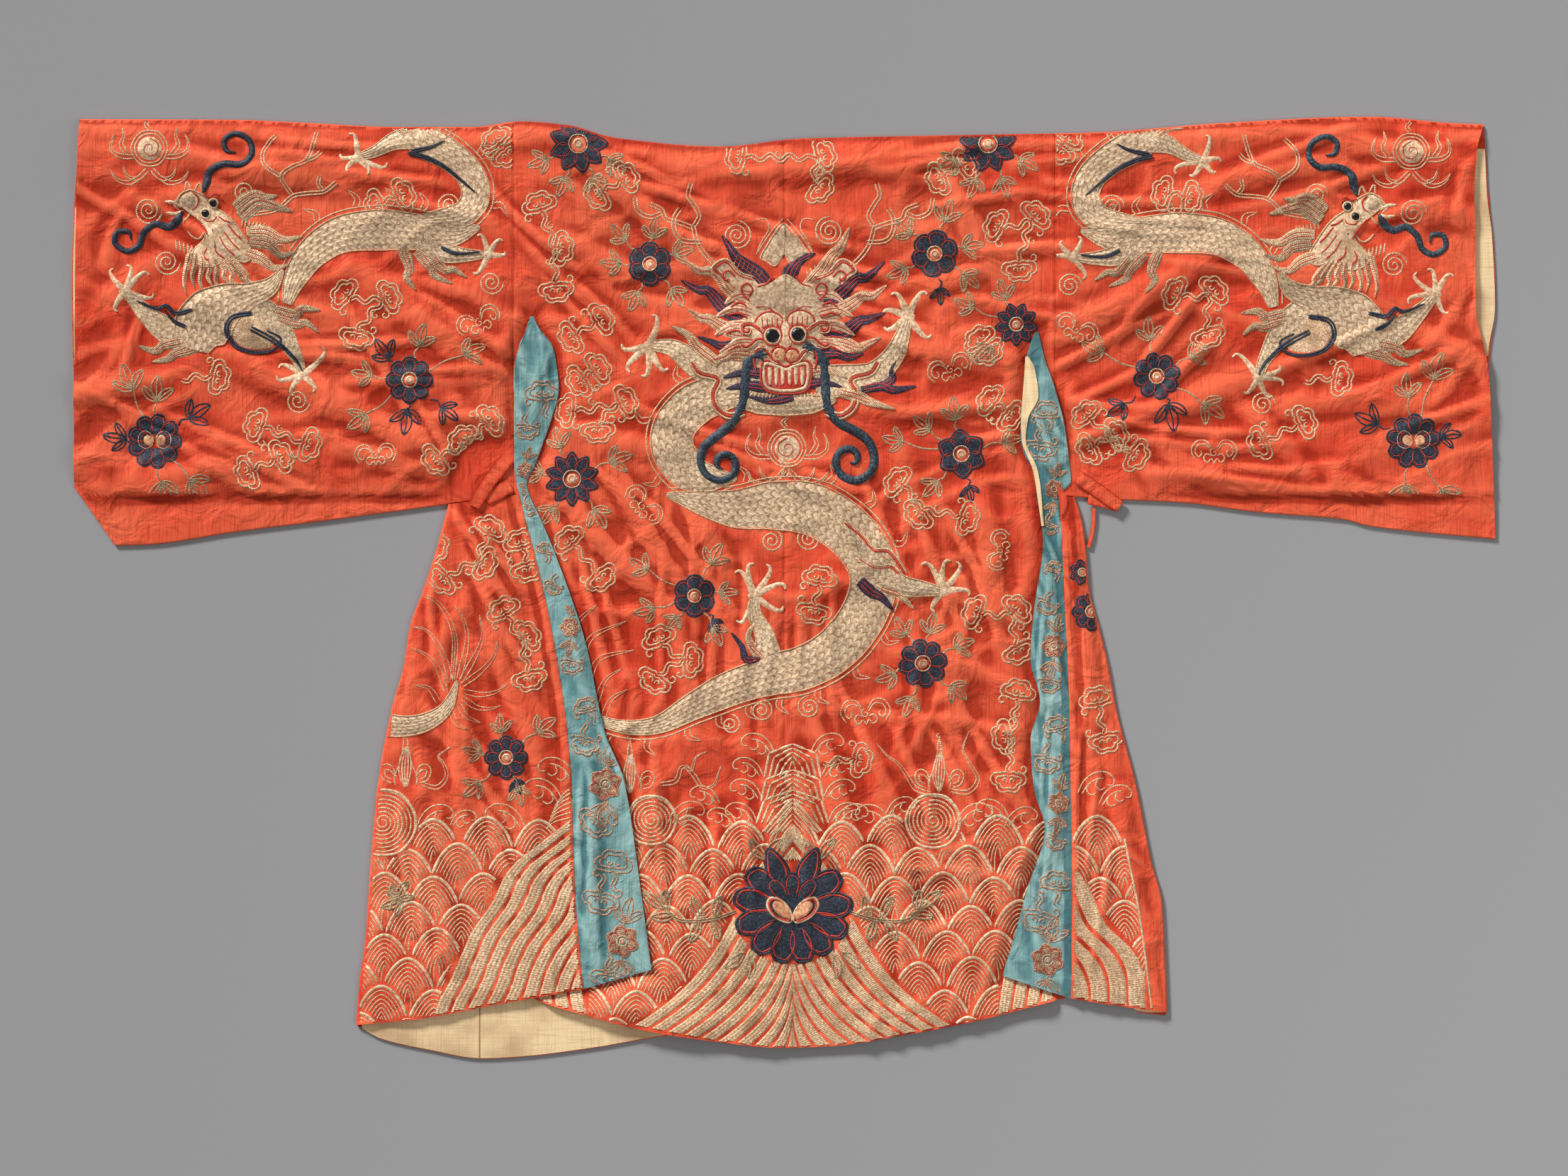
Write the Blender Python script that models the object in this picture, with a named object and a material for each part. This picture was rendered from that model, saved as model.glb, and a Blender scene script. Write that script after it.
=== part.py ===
"""Chinese dragon robe, laid flat with its back up. Each cut piece is a closed wall of cloth.

The tables and sizes are in millimetres, and the meshes in metres. X runs from the left cuff to the right one,
Y from the hem to the shoulders, and Z up from the surface that the robe lies on. The origin is on that surface,
under the middle of the robe.

The robe lies in three layers: the fronts with their lining up, the back and the sleeves' upper sides on them,
and on the back the side panels, which are part of the fronts and come round the open side vents, each with a
teal flap sewn to its edge.
"""

from collections import namedtuple
import math

import bmesh
import bpy

MM = 0.001

# Cloth, and the heights at which its layers lie.
CLOTH = 1.6
LINING = 1.0
GAP = 0.3
BACK_Z = CLOTH + GAP
TOP_Z = BACK_Z + CLOTH + GAP
TIE_Z = TOP_Z + CLOTH + GAP
LINING_LIFT = LINING + GAP

# The body and the sleeves: how far out the seams are, and how high the armpits and the fronts' lowest point.
SHOULDER_SEAM = 345.0
SIDE_SEAM_HEM = 389.0
ARMPIT = 118.0
FRONT_FOOT = -600.5
BACK_FLARE = 50.0
LEFT_CORNER = -853.0
NECK_HALF_WIDTH = 80.0
NECK_DEPTH = 110.0

# Ties: their widths, and the round spots that they cover at the armpits.
TIE_WIDTH = 18.0
STRAP_WIDTH = 5.0
LEFT_TIE_SPOT = (-372.0, 138.0, 48.0)
RIGHT_TIE_SPOT = (400.0, 122.0, 52.0)

# How far a fold takes to rise from a covered place, and from a folded edge.
COVER_FADE = 35.0
EDGE_FADE = 27.0

Across = namedtuple("Across", "x y")
Cuff = namedtuple("Cuff", "y upper lower")
Side = namedtuple("Side", "y contour")
Flap = namedtuple("Flap", "y left right")
Fold = namedtuple("Fold", "x y length width turn height bow")
Bend = namedtuple("Bend", "x y z heading pitch width")

# The edge along the shoulders, from cuff to cuff. It dips at the back of the neck.
SHOULDER = (
    Across(-900, 598), Across(-700, 597), Across(-605, 593), Across(-500, 588), Across(-395, 588),
    Across(-335, 595), Across(-275, 590), Across(-215, 574), Across(-80, 563), Across(20, 573),
    Across(200, 577), Across(400, 581), Across(560, 593), Across(745, 601), Across(850, 593), Across(895, 591),
)

# The lower edge of each sleeve. The left cuff's lower corner is turned under on a slant.
LEFT_SLEEVE_HEM = (
    Across(-905, 128), Across(-880, 93), Across(-858, 61), Across(LEFT_CORNER, 54), Across(-815, 55),
    Across(-695, 72), Across(-575, 87), Across(-420, 108), Across(-345, 119),
)
RIGHT_SLEEVE_HEM = (
    Across(345, 118), Across(420, 113), Across(505, 109), Across(600, 97), Across(715, 87),
    Across(745, 79), Across(908, 62),
)

# How far out the cuff's upper and lower layers reach, from the shoulder edge down.
LEFT_CUFF = (
    Cuff(600, -898, -898), Cuff(560, -900, -900), Cuff(490, -902, -905), Cuff(400, -903, -908),
    Cuff(300, -904, -907), Cuff(250, -905, -905), Cuff(128, -905, -905), Cuff(54, -905, -905),
)
RIGHT_CUFF = (
    Cuff(591, 892, 892), Cuff(559, 883, 895), Cuff(500, 879, 898), Cuff(450, 881, 904), Cuff(358, 881, 908),
    Cuff(305, 892, 900), Cuff(270, 898, 898), Cuff(190, 902, 902), Cuff(62, 907, 907),
)

# The folded edge of each side panel, from the armpit down: the outline of the body.
LEFT_SIDE = (
    Side(118, -425), Side(50, -443), Side(0, -459), Side(-50, -477), Side(-100, -485), Side(-150, -499),
    Side(-250, -518), Side(-350, -527), Side(-450, -534), Side(-500, -541), Side(-560, -546),
)
RIGHT_SIDE = (
    Side(118, 370), Side(90, 379), Side(50, 385), Side(0, 389), Side(-50, 402), Side(-100, 414),
    Side(-150, 423), Side(-250, 449), Side(-350, 469), Side(-400, 482), Side(-450, 485), Side(-545, 489),
)

# The teal flaps, from their points down. Below the armpit the outer edge is the seam to the side panel.
LEFT_FLAP = (
    Flap(346, -323, -319), Flap(333, -327, -313), Flap(308, -337, -295), Flap(286, -343, -290),
    Flap(255, -344, -287), Flap(220, -344, -295), Flap(193, -344, -304), Flap(156, -344, -318),
    Flap(133, -341, -328), Flap(118, -337, -324), Flap(88, -330, -310), Flap(45, -318, -292),
    Flap(-69, -293, -253), Flap(-184, -276, -228), Flap(-244, -271, -204), Flap(-374, -267, -184),
    Flap(-486, -258, -169), Flap(-511, -255, -166),
)
RIGHT_FLAP = (
    Flap(326, 320, 324), Flap(309, 313, 328), Flap(289, 308, 333), Flap(252, 305, 346), Flap(197, 301, 359),
    Flap(173, 305, 362), Flap(150, 317, 365), Flap(135, 320, 366), Flap(118, 322, 351), Flap(60, 330, 354),
    Flap(-32, 318, 358), Flap(-89, 314, 361), Flap(-145, 326, 363), Flap(-194, 314, 364), Flap(-254, 318, 365),
    Flap(-307, 332, 366), Flap(-383, 310, 367), Flap(-456, 290, 366), Flap(-494, 279, 366), Flap(-523, 276, 365),
)
LEFT_FLAP_HEM = (Across(-256, -511), Across(-168, -486))
RIGHT_FLAP_HEM = (Across(278, -494), Across(365, -523))

# The edge of the right flap that is turned back, lining up: its outer and its inner edge.
TURNBACK = (
    Flap(295, 307.5, 311), Flap(281, 306.7, 319), Flap(244, 304, 324), Flap(216, 302, 311), Flap(189, 303, 308),
    Flap(150, 317, 323), Flap(126, 321.5, 327), Flap(79, 328, 331),
)

# Hems, from left to right.
FRONT_HEM = (
    Across(-546, -557), Across(-515, -575), Across(-455, -589), Across(-385, FRONT_FOOT), Across(-335, -598),
    Across(-245, -587), Across(-142, -570), Across(0, -558), Across(200, -540), Across(345, -512),
    Across(430, -522), Across(450, -541), Across(489, -545),
)
BACK_HEM = (
    Across(-400, -492), Across(-340, -496), Across(-318, -523), Across(-257, -543), Across(-171, -565),
    Across(-95, -577), Across(0, -586), Across(60, -584), Across(145, -571), Across(235, -554),
    Across(345, -526), Across(400, -512),
)
LEFT_SIDE_HEM = (Across(-546, -557), Across(-464, -549), Across(-362, -530), Across(-255, -511))
RIGHT_SIDE_HEM = (Across(365, -523), Across(415, -531), Across(489, -541))

# The largest folds of the back and the sleeves: where each ridge's middle is, its length and width, the way
# that it runs (degrees from +X), its height, and how far its ends bow to its left.
BACK_FOLDS = (
    # the left sleeve, towards its armpit
    Fold(-640, 530, 330, 70, -6, 5.5, 10),
    Fold(-770, 500, 190, 60, 12, 4.0, 0),
    Fold(-460, 345, 280, 80, -40, 8.0, -18),
    Fold(-560, 232, 420, 75, -27, 7.5, -14),
    Fold(-500, 165, 260, 55, -14, 5.5, 0),
    Fold(-700, 340, 260, 85, -22, 6.0, 0),
    Fold(-740, 150, 240, 60, 6, 4.5, 0),
    Fold(-840, 260, 170, 60, 10, 4.0, 0),
    Fold(-430, 480, 200, 60, -22, 4.5, 0),
    Fold(-820, 400, 160, 60, 35, 4.0, 0),
    # the right sleeve
    Fold(455, 375, 300, 75, 28, 7.5, 16),
    Fold(600, 525, 300, 60, 14, 5.5, 0),
    Fold(760, 560, 220, 55, -6, 4.5, 0),
    Fold(560, 255, 330, 80, 20, 6.0, 10),
    Fold(830, 480, 150, 60, -4, 4.0, 0),
    Fold(850, 305, 140, 60, -28, 5.5, 0),
    Fold(735, 240, 260, 65, 4, 5.5, 0),
    Fold(620, 195, 200, 60, -48, 5.5, 0),
    Fold(530, 150, 180, 60, -34, 4.5, 0),
    Fold(740, 120, 160, 55, -32, 4.0, 0),
    Fold(690, 400, 260, 85, -12, 4.5, 0),
    # the upper back
    Fold(-185, 490, 290, 65, -42, 8.0, 0),
    Fold(-255, 430, 200, 60, -25, 4.5, 0),
    Fold(235, 470, 230, 60, -62, 5.5, 0),
    Fold(90, 540, 300, 60, 3, 4.0, 0),
    Fold(-100, 330, 260, 70, -14, 4.0, 0),
    Fold(205, 300, 220, 60, -12, 5.5, 0),
    Fold(190, 232, 240, 60, 0, 4.5, 0),
    Fold(230, 400, 180, 55, 18, 4.5, 0),
    Fold(-200, 185, 220, 60, -12, 5.5, 0),
    # the pull below the left armpit
    Fold(-235, 62, 270, 52, -48, 9.0, 12),
    Fold(-170, 60, 250, 50, -58, 7.5, 10),
    Fold(-100, 70, 210, 55, -62, 5.5, 0),
    # the lower back, where the folds run down
    Fold(-130, -85, 230, 60, -80, 6.0, 0),
    Fold(-60, -130, 260, 60, -82, 5.5, 0),
    Fold(-15, -290, 260, 60, -84, 4.5, 0),
    Fold(78, -320, 420, 62, -76, 8.0, -10),
    Fold(140, -330, 420, 60, -78, 6.0, -10),
    Fold(262, 30, 250, 62, -82, 7.0, 0),
    Fold(215, -150, 260, 70, -86, 4.5, 0),
    Fold(165, 90, 220, 60, -80, 4.0, 0),
    Fold(-110, -420, 240, 70, -80, 4.0, 0),
    Fold(235, -380, 220, 70, -84, 4.0, 0),
)

# The folds of the side panels and the flaps.
TOP_FOLDS = (
    Fold(-375, -20, 210, 55, -80, 4.0, 0),
    Fold(-338, -150, 210, 55, -72, 4.5, 0),
    Fold(-412, -210, 260, 60, -88, 4.0, 0),
    Fold(-430, -60, 170, 50, 60, 3.0, 0),
    Fold(-330, -330, 300, 60, -85, 3.0, 0),
    Fold(-450, -400, 200, 70, -70, 3.0, 0),
    Fold(-316, 250, 130, 34, 84, 2.5, 0),
    Fold(-240, -230, 330, 44, -78, 2.5, 0),
    Fold(334, 235, 150, 40, -80, 3.0, 0),
    Fold(342, -40, 240, 34, -86, 3.0, 0),
    Fold(345, -270, 260, 38, -90, 3.0, 0),
    Fold(392, -180, 420, 42, -88, 4.5, 0),
    Fold(436, -330, 330, 44, -79, 4.0, 0),
)


def smooth(t):
    """From 0 to 1 as t goes from 0 to 1, with a soft start and end."""
    t = min(max(t, 0.0), 1.0)
    return t * t * (3 - 2 * t)


def mix(a, b, t):
    return a + (b - a) * t


def steps(count):
    return [i / count for i in range(count + 1)]


def curve(rows, key, value):
    """One column of a table as a smooth function of another, which never passes beyond the rows it lies between."""
    pairs = sorted((getattr(row, key), getattr(row, value)) for row in rows)
    keys = [pair[0] for pair in pairs]
    values = [pair[1] for pair in pairs]
    rises = [(values[i + 1] - values[i]) / (keys[i + 1] - keys[i]) for i in range(len(keys) - 1)]
    slopes = [rises[0]]
    for before, after in zip(rises, rises[1:]):
        slopes.append(2 * before * after / (before + after) if before * after > 0 else 0.0)
    slopes.append(rises[-1])

    def at(key_value):
        if key_value <= keys[0]:
            return values[0]
        if key_value >= keys[-1]:
            return values[-1]
        i = max(n for n in range(len(keys) - 1) if keys[n] <= key_value)
        span = keys[i + 1] - keys[i]
        t = (key_value - keys[i]) / span
        start = values[i] * (1 + 2 * t) * (1 - t) ** 2 + values[i + 1] * t * t * (3 - 2 * t)
        return start + span * (slopes[i] * t * (1 - t) ** 2 - slopes[i + 1] * t * t * (1 - t))

    return at


shoulder = curve(SHOULDER, "x", "y")
left_sleeve_hem = curve(LEFT_SLEEVE_HEM, "x", "y")
right_sleeve_hem = curve(RIGHT_SLEEVE_HEM, "x", "y")
front_hem = curve(FRONT_HEM, "x", "y")
back_hem = curve(BACK_HEM, "x", "y")
left_contour = curve(LEFT_SIDE, "y", "contour")
right_contour = curve(RIGHT_SIDE, "y", "contour")
left_flap_left = curve(LEFT_FLAP, "y", "left")
left_flap_right = curve(LEFT_FLAP, "y", "right")
right_flap_left = curve(RIGHT_FLAP, "y", "left")
right_flap_right = curve(RIGHT_FLAP, "y", "right")
left_side_hem = curve(LEFT_SIDE_HEM, "x", "y")
right_side_hem = curve(RIGHT_SIDE_HEM, "x", "y")


def side_seam(y):
    """How far out the front's side seam is, from the armpit down to the hem."""
    return mix(SIDE_SEAM_HEM, SHOULDER_SEAM, (y - FRONT_FOOT) / (ARMPIT - FRONT_FOOT))


def back_side(y):
    """How far out the back's hidden side edge is: at the sleeve seam above the armpit, and flared below it."""
    return SHOULDER_SEAM + BACK_FLARE * smooth((ARMPIT - y) / (ARMPIT - FRONT_FOOT))


def ridge(fold, x, y):
    """The height of one fold at a point: highest in its middle, and down to nothing at its ends and sides."""
    turn = math.radians(fold.turn)
    along = (x - fold.x) * math.cos(turn) + (y - fold.y) * math.sin(turn)
    across = (y - fold.y) * math.cos(turn) - (x - fold.x) * math.sin(turn)
    across -= fold.bow * (2 * along / fold.length) ** 2
    if abs(along) >= fold.length / 2 or abs(across) >= fold.width / 2:
        return 0.0
    return fold.height * math.cos(math.pi * along / fold.length) * math.cos(math.pi * across / fold.width) ** 2


def rise(folds, x, y):
    """All the folds at a point. Where two cross, the higher one leads."""
    return sum(ridge(fold, x, y) ** 3 for fold in folds) ** (1 / 3)


def past_spot(spot, x, y):
    """How far a point is outside a round spot."""
    return math.hypot(x - spot[0], y - spot[1]) - spot[2]


def clear_of_cover(x, y):
    """0 where a side panel, a flap or a tie lies on the back or a sleeve, and 1 well away from it."""
    if x < 0:
        inner, outer = left_flap_right(y), left_flap_left(y) if y > ARMPIT else -math.inf
        flap_away = max(x - inner, outer - x, y - LEFT_FLAP[0].y)
        tie_away = past_spot(LEFT_TIE_SPOT, x, y)
    else:
        inner, outer = right_flap_left(y), right_flap_right(y) if y > ARMPIT else math.inf
        flap_away = max(inner - x, x - outer, y - RIGHT_FLAP[0].y)
        tie_away = past_spot(RIGHT_TIE_SPOT, x, y)
    return smooth(flap_away / COVER_FADE) * smooth(tie_away / COVER_FADE)


def back_rise(x, y):
    """How far the back and the sleeves' upper sides stand above where they would lie flat."""
    lower = -math.inf
    if x < -SHOULDER_SEAM:
        lower = left_sleeve_hem(x)
    elif x > SHOULDER_SEAM:
        lower = right_sleeve_hem(x)
    calm = smooth((shoulder(x) - y) / EDGE_FADE) * smooth((y - lower) / EDGE_FADE)
    over_cuff_lining = smooth((abs(x) - 800) / 60) * calm
    over_hem_lining = smooth((-450 - y) / 50) * smooth((-60 - x) / 80)
    lift = LINING_LIFT * max(over_cuff_lining, over_hem_lining)
    return rise(BACK_FOLDS, x, y) * calm * clear_of_cover(x, y) + lift


def top_rise(x, y):
    """The same for the side panels and the flaps, which lie flat along the body's folded edge and under the ties."""
    contour = left_contour(y) if x < 0 else right_contour(y)
    calm = smooth((abs(contour) - abs(x)) / EDGE_FADE) if y < ARMPIT else 1.0
    tie_away = past_spot(LEFT_TIE_SPOT if x < 0 else RIGHT_TIE_SPOT, x, y)
    over_lining = smooth((-430 - y) / 50) * (LINING_LIFT + 0.2) if x < 0 else 0.0
    return (rise(TOP_FOLDS, x, y) * smooth(tie_away / EDGE_FADE) + over_lining) * calm


def wall(name, outer, inner, material, ring=False):
    """A closed wall between two grids of points. A ring closes on itself along each row of the grids."""
    mesh = bmesh.new()
    grids = [[[mesh.verts.new([c * MM for c in point]) for point in row] for row in grid] for grid in (outer, inner)]
    rows, columns = len(outer), len(outer[0])
    last = columns if ring else columns - 1
    for grid in grids:
        for i in range(rows - 1):
            for j in range(last):
                k = (j + 1) % columns
                mesh.faces.new((grid[i][j], grid[i][k], grid[i + 1][k], grid[i + 1][j]))
    for i in (0, rows - 1):
        for j in range(last):
            k = (j + 1) % columns
            mesh.faces.new((grids[0][i][j], grids[0][i][k], grids[1][i][k], grids[1][i][j]))
    if not ring:
        for j in (0, columns - 1):
            for i in range(rows - 1):
                mesh.faces.new((grids[0][i][j], grids[0][i + 1][j], grids[1][i + 1][j], grids[1][i][j]))
    bmesh.ops.recalc_face_normals(mesh, faces=mesh.faces)
    data = bpy.data.meshes.new(name)
    mesh.to_mesh(data)
    mesh.free()
    data.materials.append(material)
    data.shade_smooth()
    data.set_sharp_from_angle(angle=math.radians(50))
    piece = bpy.data.objects.new(name, data)
    bpy.context.scene.collection.objects.link(piece)
    piece.parent = robe
    return piece


def spread(left, right, bottom, top):
    """Where the fraction u across and v up a panel is, between its four edges."""

    def spot(u, v):
        y = mix(bottom(0), top(0), v)
        x = mix(left(y), right(y), u)
        for _ in range(4):
            y = mix(bottom(x), top(x), v)
            x = mix(left(y), right(y), u)
        return x, y

    return spot


# A rounded upper edge: how far each row lies in from the edge, and how far below the face.
ROUNDED = ((1.1, 0.0), (0.35, 0.35), (0.0, 1.1))

# The angles at which a wall that turns right over has its points.
TURN = [math.radians(angle) for angle in (45, 90, 135)]


def panel(name, material, spot, us, vs, base, thick=CLOTH, rounded=0):
    """A panel of cloth on a layer. base gives its underside's height. Its upper edge is rounded on top (1),
    below (-1) or not at all (0)."""
    under, over = [], []
    for v in vs[:-1] if rounded else vs:
        places = [spot(u, v) for u in us]
        under.append([(x, y, base(x, y)) for x, y in places])
        over.append([(x, y, base(x, y) + thick) for x, y in places])
    for inset, drop in ROUNDED if rounded else ():
        places = [spot(u, vs[-1]) for u in us]
        below = drop if rounded < 0 else 0.0
        above = drop if rounded > 0 else 0.0
        under.append([(x, y - inset, base(x, y) + below) for x, y in places])
        over.append([(x, y - inset, base(x, y) + thick - above) for x, y in places])
    return wall(name, over, under, material)


def back(name, side):
    """One half of the back, from the seam down its middle to its hidden side edge."""
    columns, rows = 18, 34

    def inner(y):
        return side * GAP / 2

    def outer(y):
        return side * (back_side(y) - GAP / 2)

    spot = spread(inner, outer, back_hem, shoulder)
    return panel(
        name, red_satin, spot, steps(columns), steps(rows), lambda x, y: BACK_Z + back_rise(x, y), rounded=1
    )


def front(name, side):
    """One half of the front, flat on the surface, with half of the round neck cut from its upper inner corner."""
    neck_steps = 6
    panel_columns = 4
    neck_xs = [NECK_HALF_WIDTH * math.sin(math.radians(90 * i / neck_steps)) for i in range(neck_steps + 1)]
    neck_share = NECK_HALF_WIDTH / SHOULDER_SEAM
    us = [x / SHOULDER_SEAM for x in neck_xs]
    us += [mix(neck_share, 1, i / panel_columns) for i in range(1, panel_columns + 1)]

    def inner(y):
        return side * GAP / 2

    def outer(y):
        return side * ((SHOULDER_SEAM if y > ARMPIT else side_seam(y)) - GAP / 2)

    def top(x):
        reach = min(abs(x) / NECK_HALF_WIDTH, 1.0)
        return shoulder(x) - NECK_DEPTH * math.sqrt(1 - reach * reach)

    hem_y, shoulder_y = front_hem(side * SHOULDER_SEAM), shoulder(side * SHOULDER_SEAM)
    armpit_share = (ARMPIT - hem_y) / (shoulder_y - hem_y)
    vs = [armpit_share * t for t in steps(7)] + [mix(armpit_share, 1, t) for t in steps(5)[1:]]
    spot = spread(inner, outer, front_hem, top)
    return panel(name, red_satin, spot, us, vs, lambda x, y: 0.0, rounded=-1)


def sleeve(name, hem, cuff, side):
    """A sleeve: a tube pressed flat, folded along the shoulder and seamed below, open at the armhole and the cuff."""
    upper_rows, lower_rows = 19, 7
    corner_share = (LEFT_CORNER + SHOULDER_SEAM) / (LEFT_CUFF[-1].upper + SHOULDER_SEAM)
    stations = [corner_share * t for t in steps(15)] + [mix(corner_share, 1, 0.5), 1.0]
    half = CLOTH + GAP / 2
    cuff_upper = curve(cuff, "y", "upper")
    cuff_lower = curve(cuff, "y", "lower")
    seam_x = side * (SHOULDER_SEAM + GAP / 2)

    def place(station, v, reach_out):
        """A point's x and y, from the fraction that it lies up the sleeve."""
        x, y = seam_x, 350
        for _ in range(4):
            x = mix(seam_x, reach_out(y), station)
            y = mix(hem(x) + half, shoulder(x) - half, v)
        return x, y

    def between(y):
        return (cuff_upper(y) + cuff_lower(y)) / 2

    def ring(station, radius):
        points = []
        for v in reversed(steps(upper_rows)):
            x, y = place(station, v, cuff_upper)
            points.append((x, y, half + radius + back_rise(x, y)))
        for angle in TURN:
            x, y = place(station, 0, between)
            points.append((x, y - radius * math.sin(angle), half + radius * math.cos(angle)))
        for v in steps(lower_rows):
            x, y = place(station, v, cuff_lower)
            points.append((x, y, half - radius))
        for angle in reversed(TURN):
            x, y = place(station, 1, between)
            points.append((x, y + radius * math.sin(angle), half + radius * math.cos(angle)))
        return points

    outer = [ring(station, half) for station in stations]
    inner = [ring(station, GAP / 2) for station in stations]
    return wall(name, outer, inner, red_satin, ring=True)


SIDE_STATIONS = 22


def side_panel(name, side, contour, seam, sleeve_hem, upper_hem):
    """The side of a front: it lies under the back from the front's side seam to the body's edge, turns up there,
    and lies on the back from that edge to the flap's seam."""
    half = (TOP_Z + CLOTH) / 2
    under_columns, over_columns = 2, 7

    def rows(distance):
        """The section's points at one offset from the middle of the turn: half outside, half - CLOTH inside."""
        grid = []
        for v in steps(SIDE_STATIONS):
            line = []
            for u in steps(under_columns):
                x = side * SIDE_SEAM_HEM
                for _ in range(4):
                    y = mix(front_hem(x), sleeve_hem(x) - GAP, v)
                    x = mix(side * (side_seam(y) + GAP / 2), contour(y) - side * half, u)
                line.append((x, y, half - distance))
            for angle in TURN:
                y = mix(upper_hem(contour(FRONT_FOOT)), sleeve_hem(contour(ARMPIT)) - GAP, v)
                x = contour(y) - side * half
                line.append((x + side * distance * math.sin(angle), y, half - distance * math.cos(angle)))
            for u in steps(over_columns):
                x = side * SIDE_SEAM_HEM
                for _ in range(4):
                    y = mix(upper_hem(x), sleeve_hem(x) - GAP, v)
                    x = mix(contour(y) - side * half, seam(y) + side * GAP / 2, u)
                line.append((x, y, half + distance + top_rise(x, y)))
            grid.append(line)
        return grid

    return wall(name, rows(half), rows(half - CLOTH), red_satin)


def flap(name, table, left, right, hem_rows, seam_hem):
    """A teal flap: a pointed lobe that lies on the back above the armpit, and a long strip sewn to the side panel."""
    columns, lobe_rows = 4, 11
    top = table[0].y
    hem = curve(hem_rows, "x", "y")
    seam_ys = [mix(seam_hem, ARMPIT, v) for v in steps(SIDE_STATIONS)]
    lobe_ys = [mix(ARMPIT, top, v) for v in steps(lobe_rows)][1:]
    vs = [(y - seam_hem) / (top - seam_hem) for y in seam_ys + lobe_ys]

    def from_left(y):
        return left(y) + GAP / 2

    def to_right(y):
        return right(y) - GAP / 2

    spot = spread(from_left, to_right, hem, lambda x: top)
    return panel(name, teal_satin, spot, steps(columns), vs, lambda x, y: TOP_Z + top_rise(x, y))


def turnback():
    """The inner edge of the right flap, turned back so that its lining shows."""
    left = curve(TURNBACK, "y", "left")
    right = curve(TURNBACK, "y", "right")
    spot = spread(left, right, lambda x: TURNBACK[-1].y, lambda x: TURNBACK[0].y)
    return panel(
        "flap_turnback_right", linen, spot, steps(2), steps(14), lambda x, y: TIE_Z + top_rise(x, y), thick=LINING
    )


def lining(name, left, right, bottom, top, columns, rows):
    """Lining where it shows: a strip that lies on the inside of the satin."""
    spot = spread(lambda y: left, lambda y: right, bottom, top)
    return panel(name, linen, spot, steps(columns), steps(rows), lambda x, y: BACK_Z, thick=LINING)


def cuff_lining(name, side, cuff, bottom, top):
    """The lining inside a cuff, on the sleeve's lower layer, which reaches past the upper one."""
    depth, inset = 45.0, 1.5
    edge = curve(cuff, "y", "lower")
    spot = spread(
        lambda y: edge(y) - side * depth, lambda y: edge(y) - side * inset, lambda x: bottom, lambda x: top
    )
    return panel(name, linen, spot, steps(2), steps(8), lambda x, y: BACK_Z, thick=LINING)


def corner():
    """The top corner of the right side panel, turned over on itself beside the flap."""
    tip, wide, foot = (347.5, 131.0), (369.0, 117.0), (353.0, 92.0)
    half_tip = 1.5
    rows = [
        [tip, (tip[0] + half_tip, tip[1] - half_tip)],
        [(mix(tip[0], foot[0], 0.4), mix(tip[1], foot[1], 0.4)), wide],
        [foot, (foot[0] + 2 * half_tip, foot[1] + half_tip)],
    ]
    under = [[(x, y, TIE_Z) for x, y in row] for row in rows]
    over = [[(x, y, TIE_Z + CLOTH) for x, y in row] for row in rows]
    return wall("side_corner_right", over, under, red_satin)


def band(name, bends):
    """A flat band of cloth along its middle line. heading is the way that it runs in plan, and pitch how far it
    has turned over: 0 lies face up, 180 has folded back under itself."""
    grid_over, grid_under = [], []
    for bend in bends:
        heading, pitch = math.radians(bend.heading), math.radians(bend.pitch)
        across = (-math.sin(heading), math.cos(heading), 0.0)
        up = (math.cos(heading) * math.sin(pitch), math.sin(heading) * math.sin(pitch), math.cos(pitch))
        for grid, height in ((grid_over, CLOTH / 2), (grid_under, -CLOTH / 2)):
            grid.append(
                [
                    tuple(c + a * s * bend.width / 2 + n * height for c, a, n in zip(bend[:3], across, up))
                    for s in (-1, 1)
                ]
            )
    return wall(name, grid_over, grid_under, red_satin)


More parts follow.
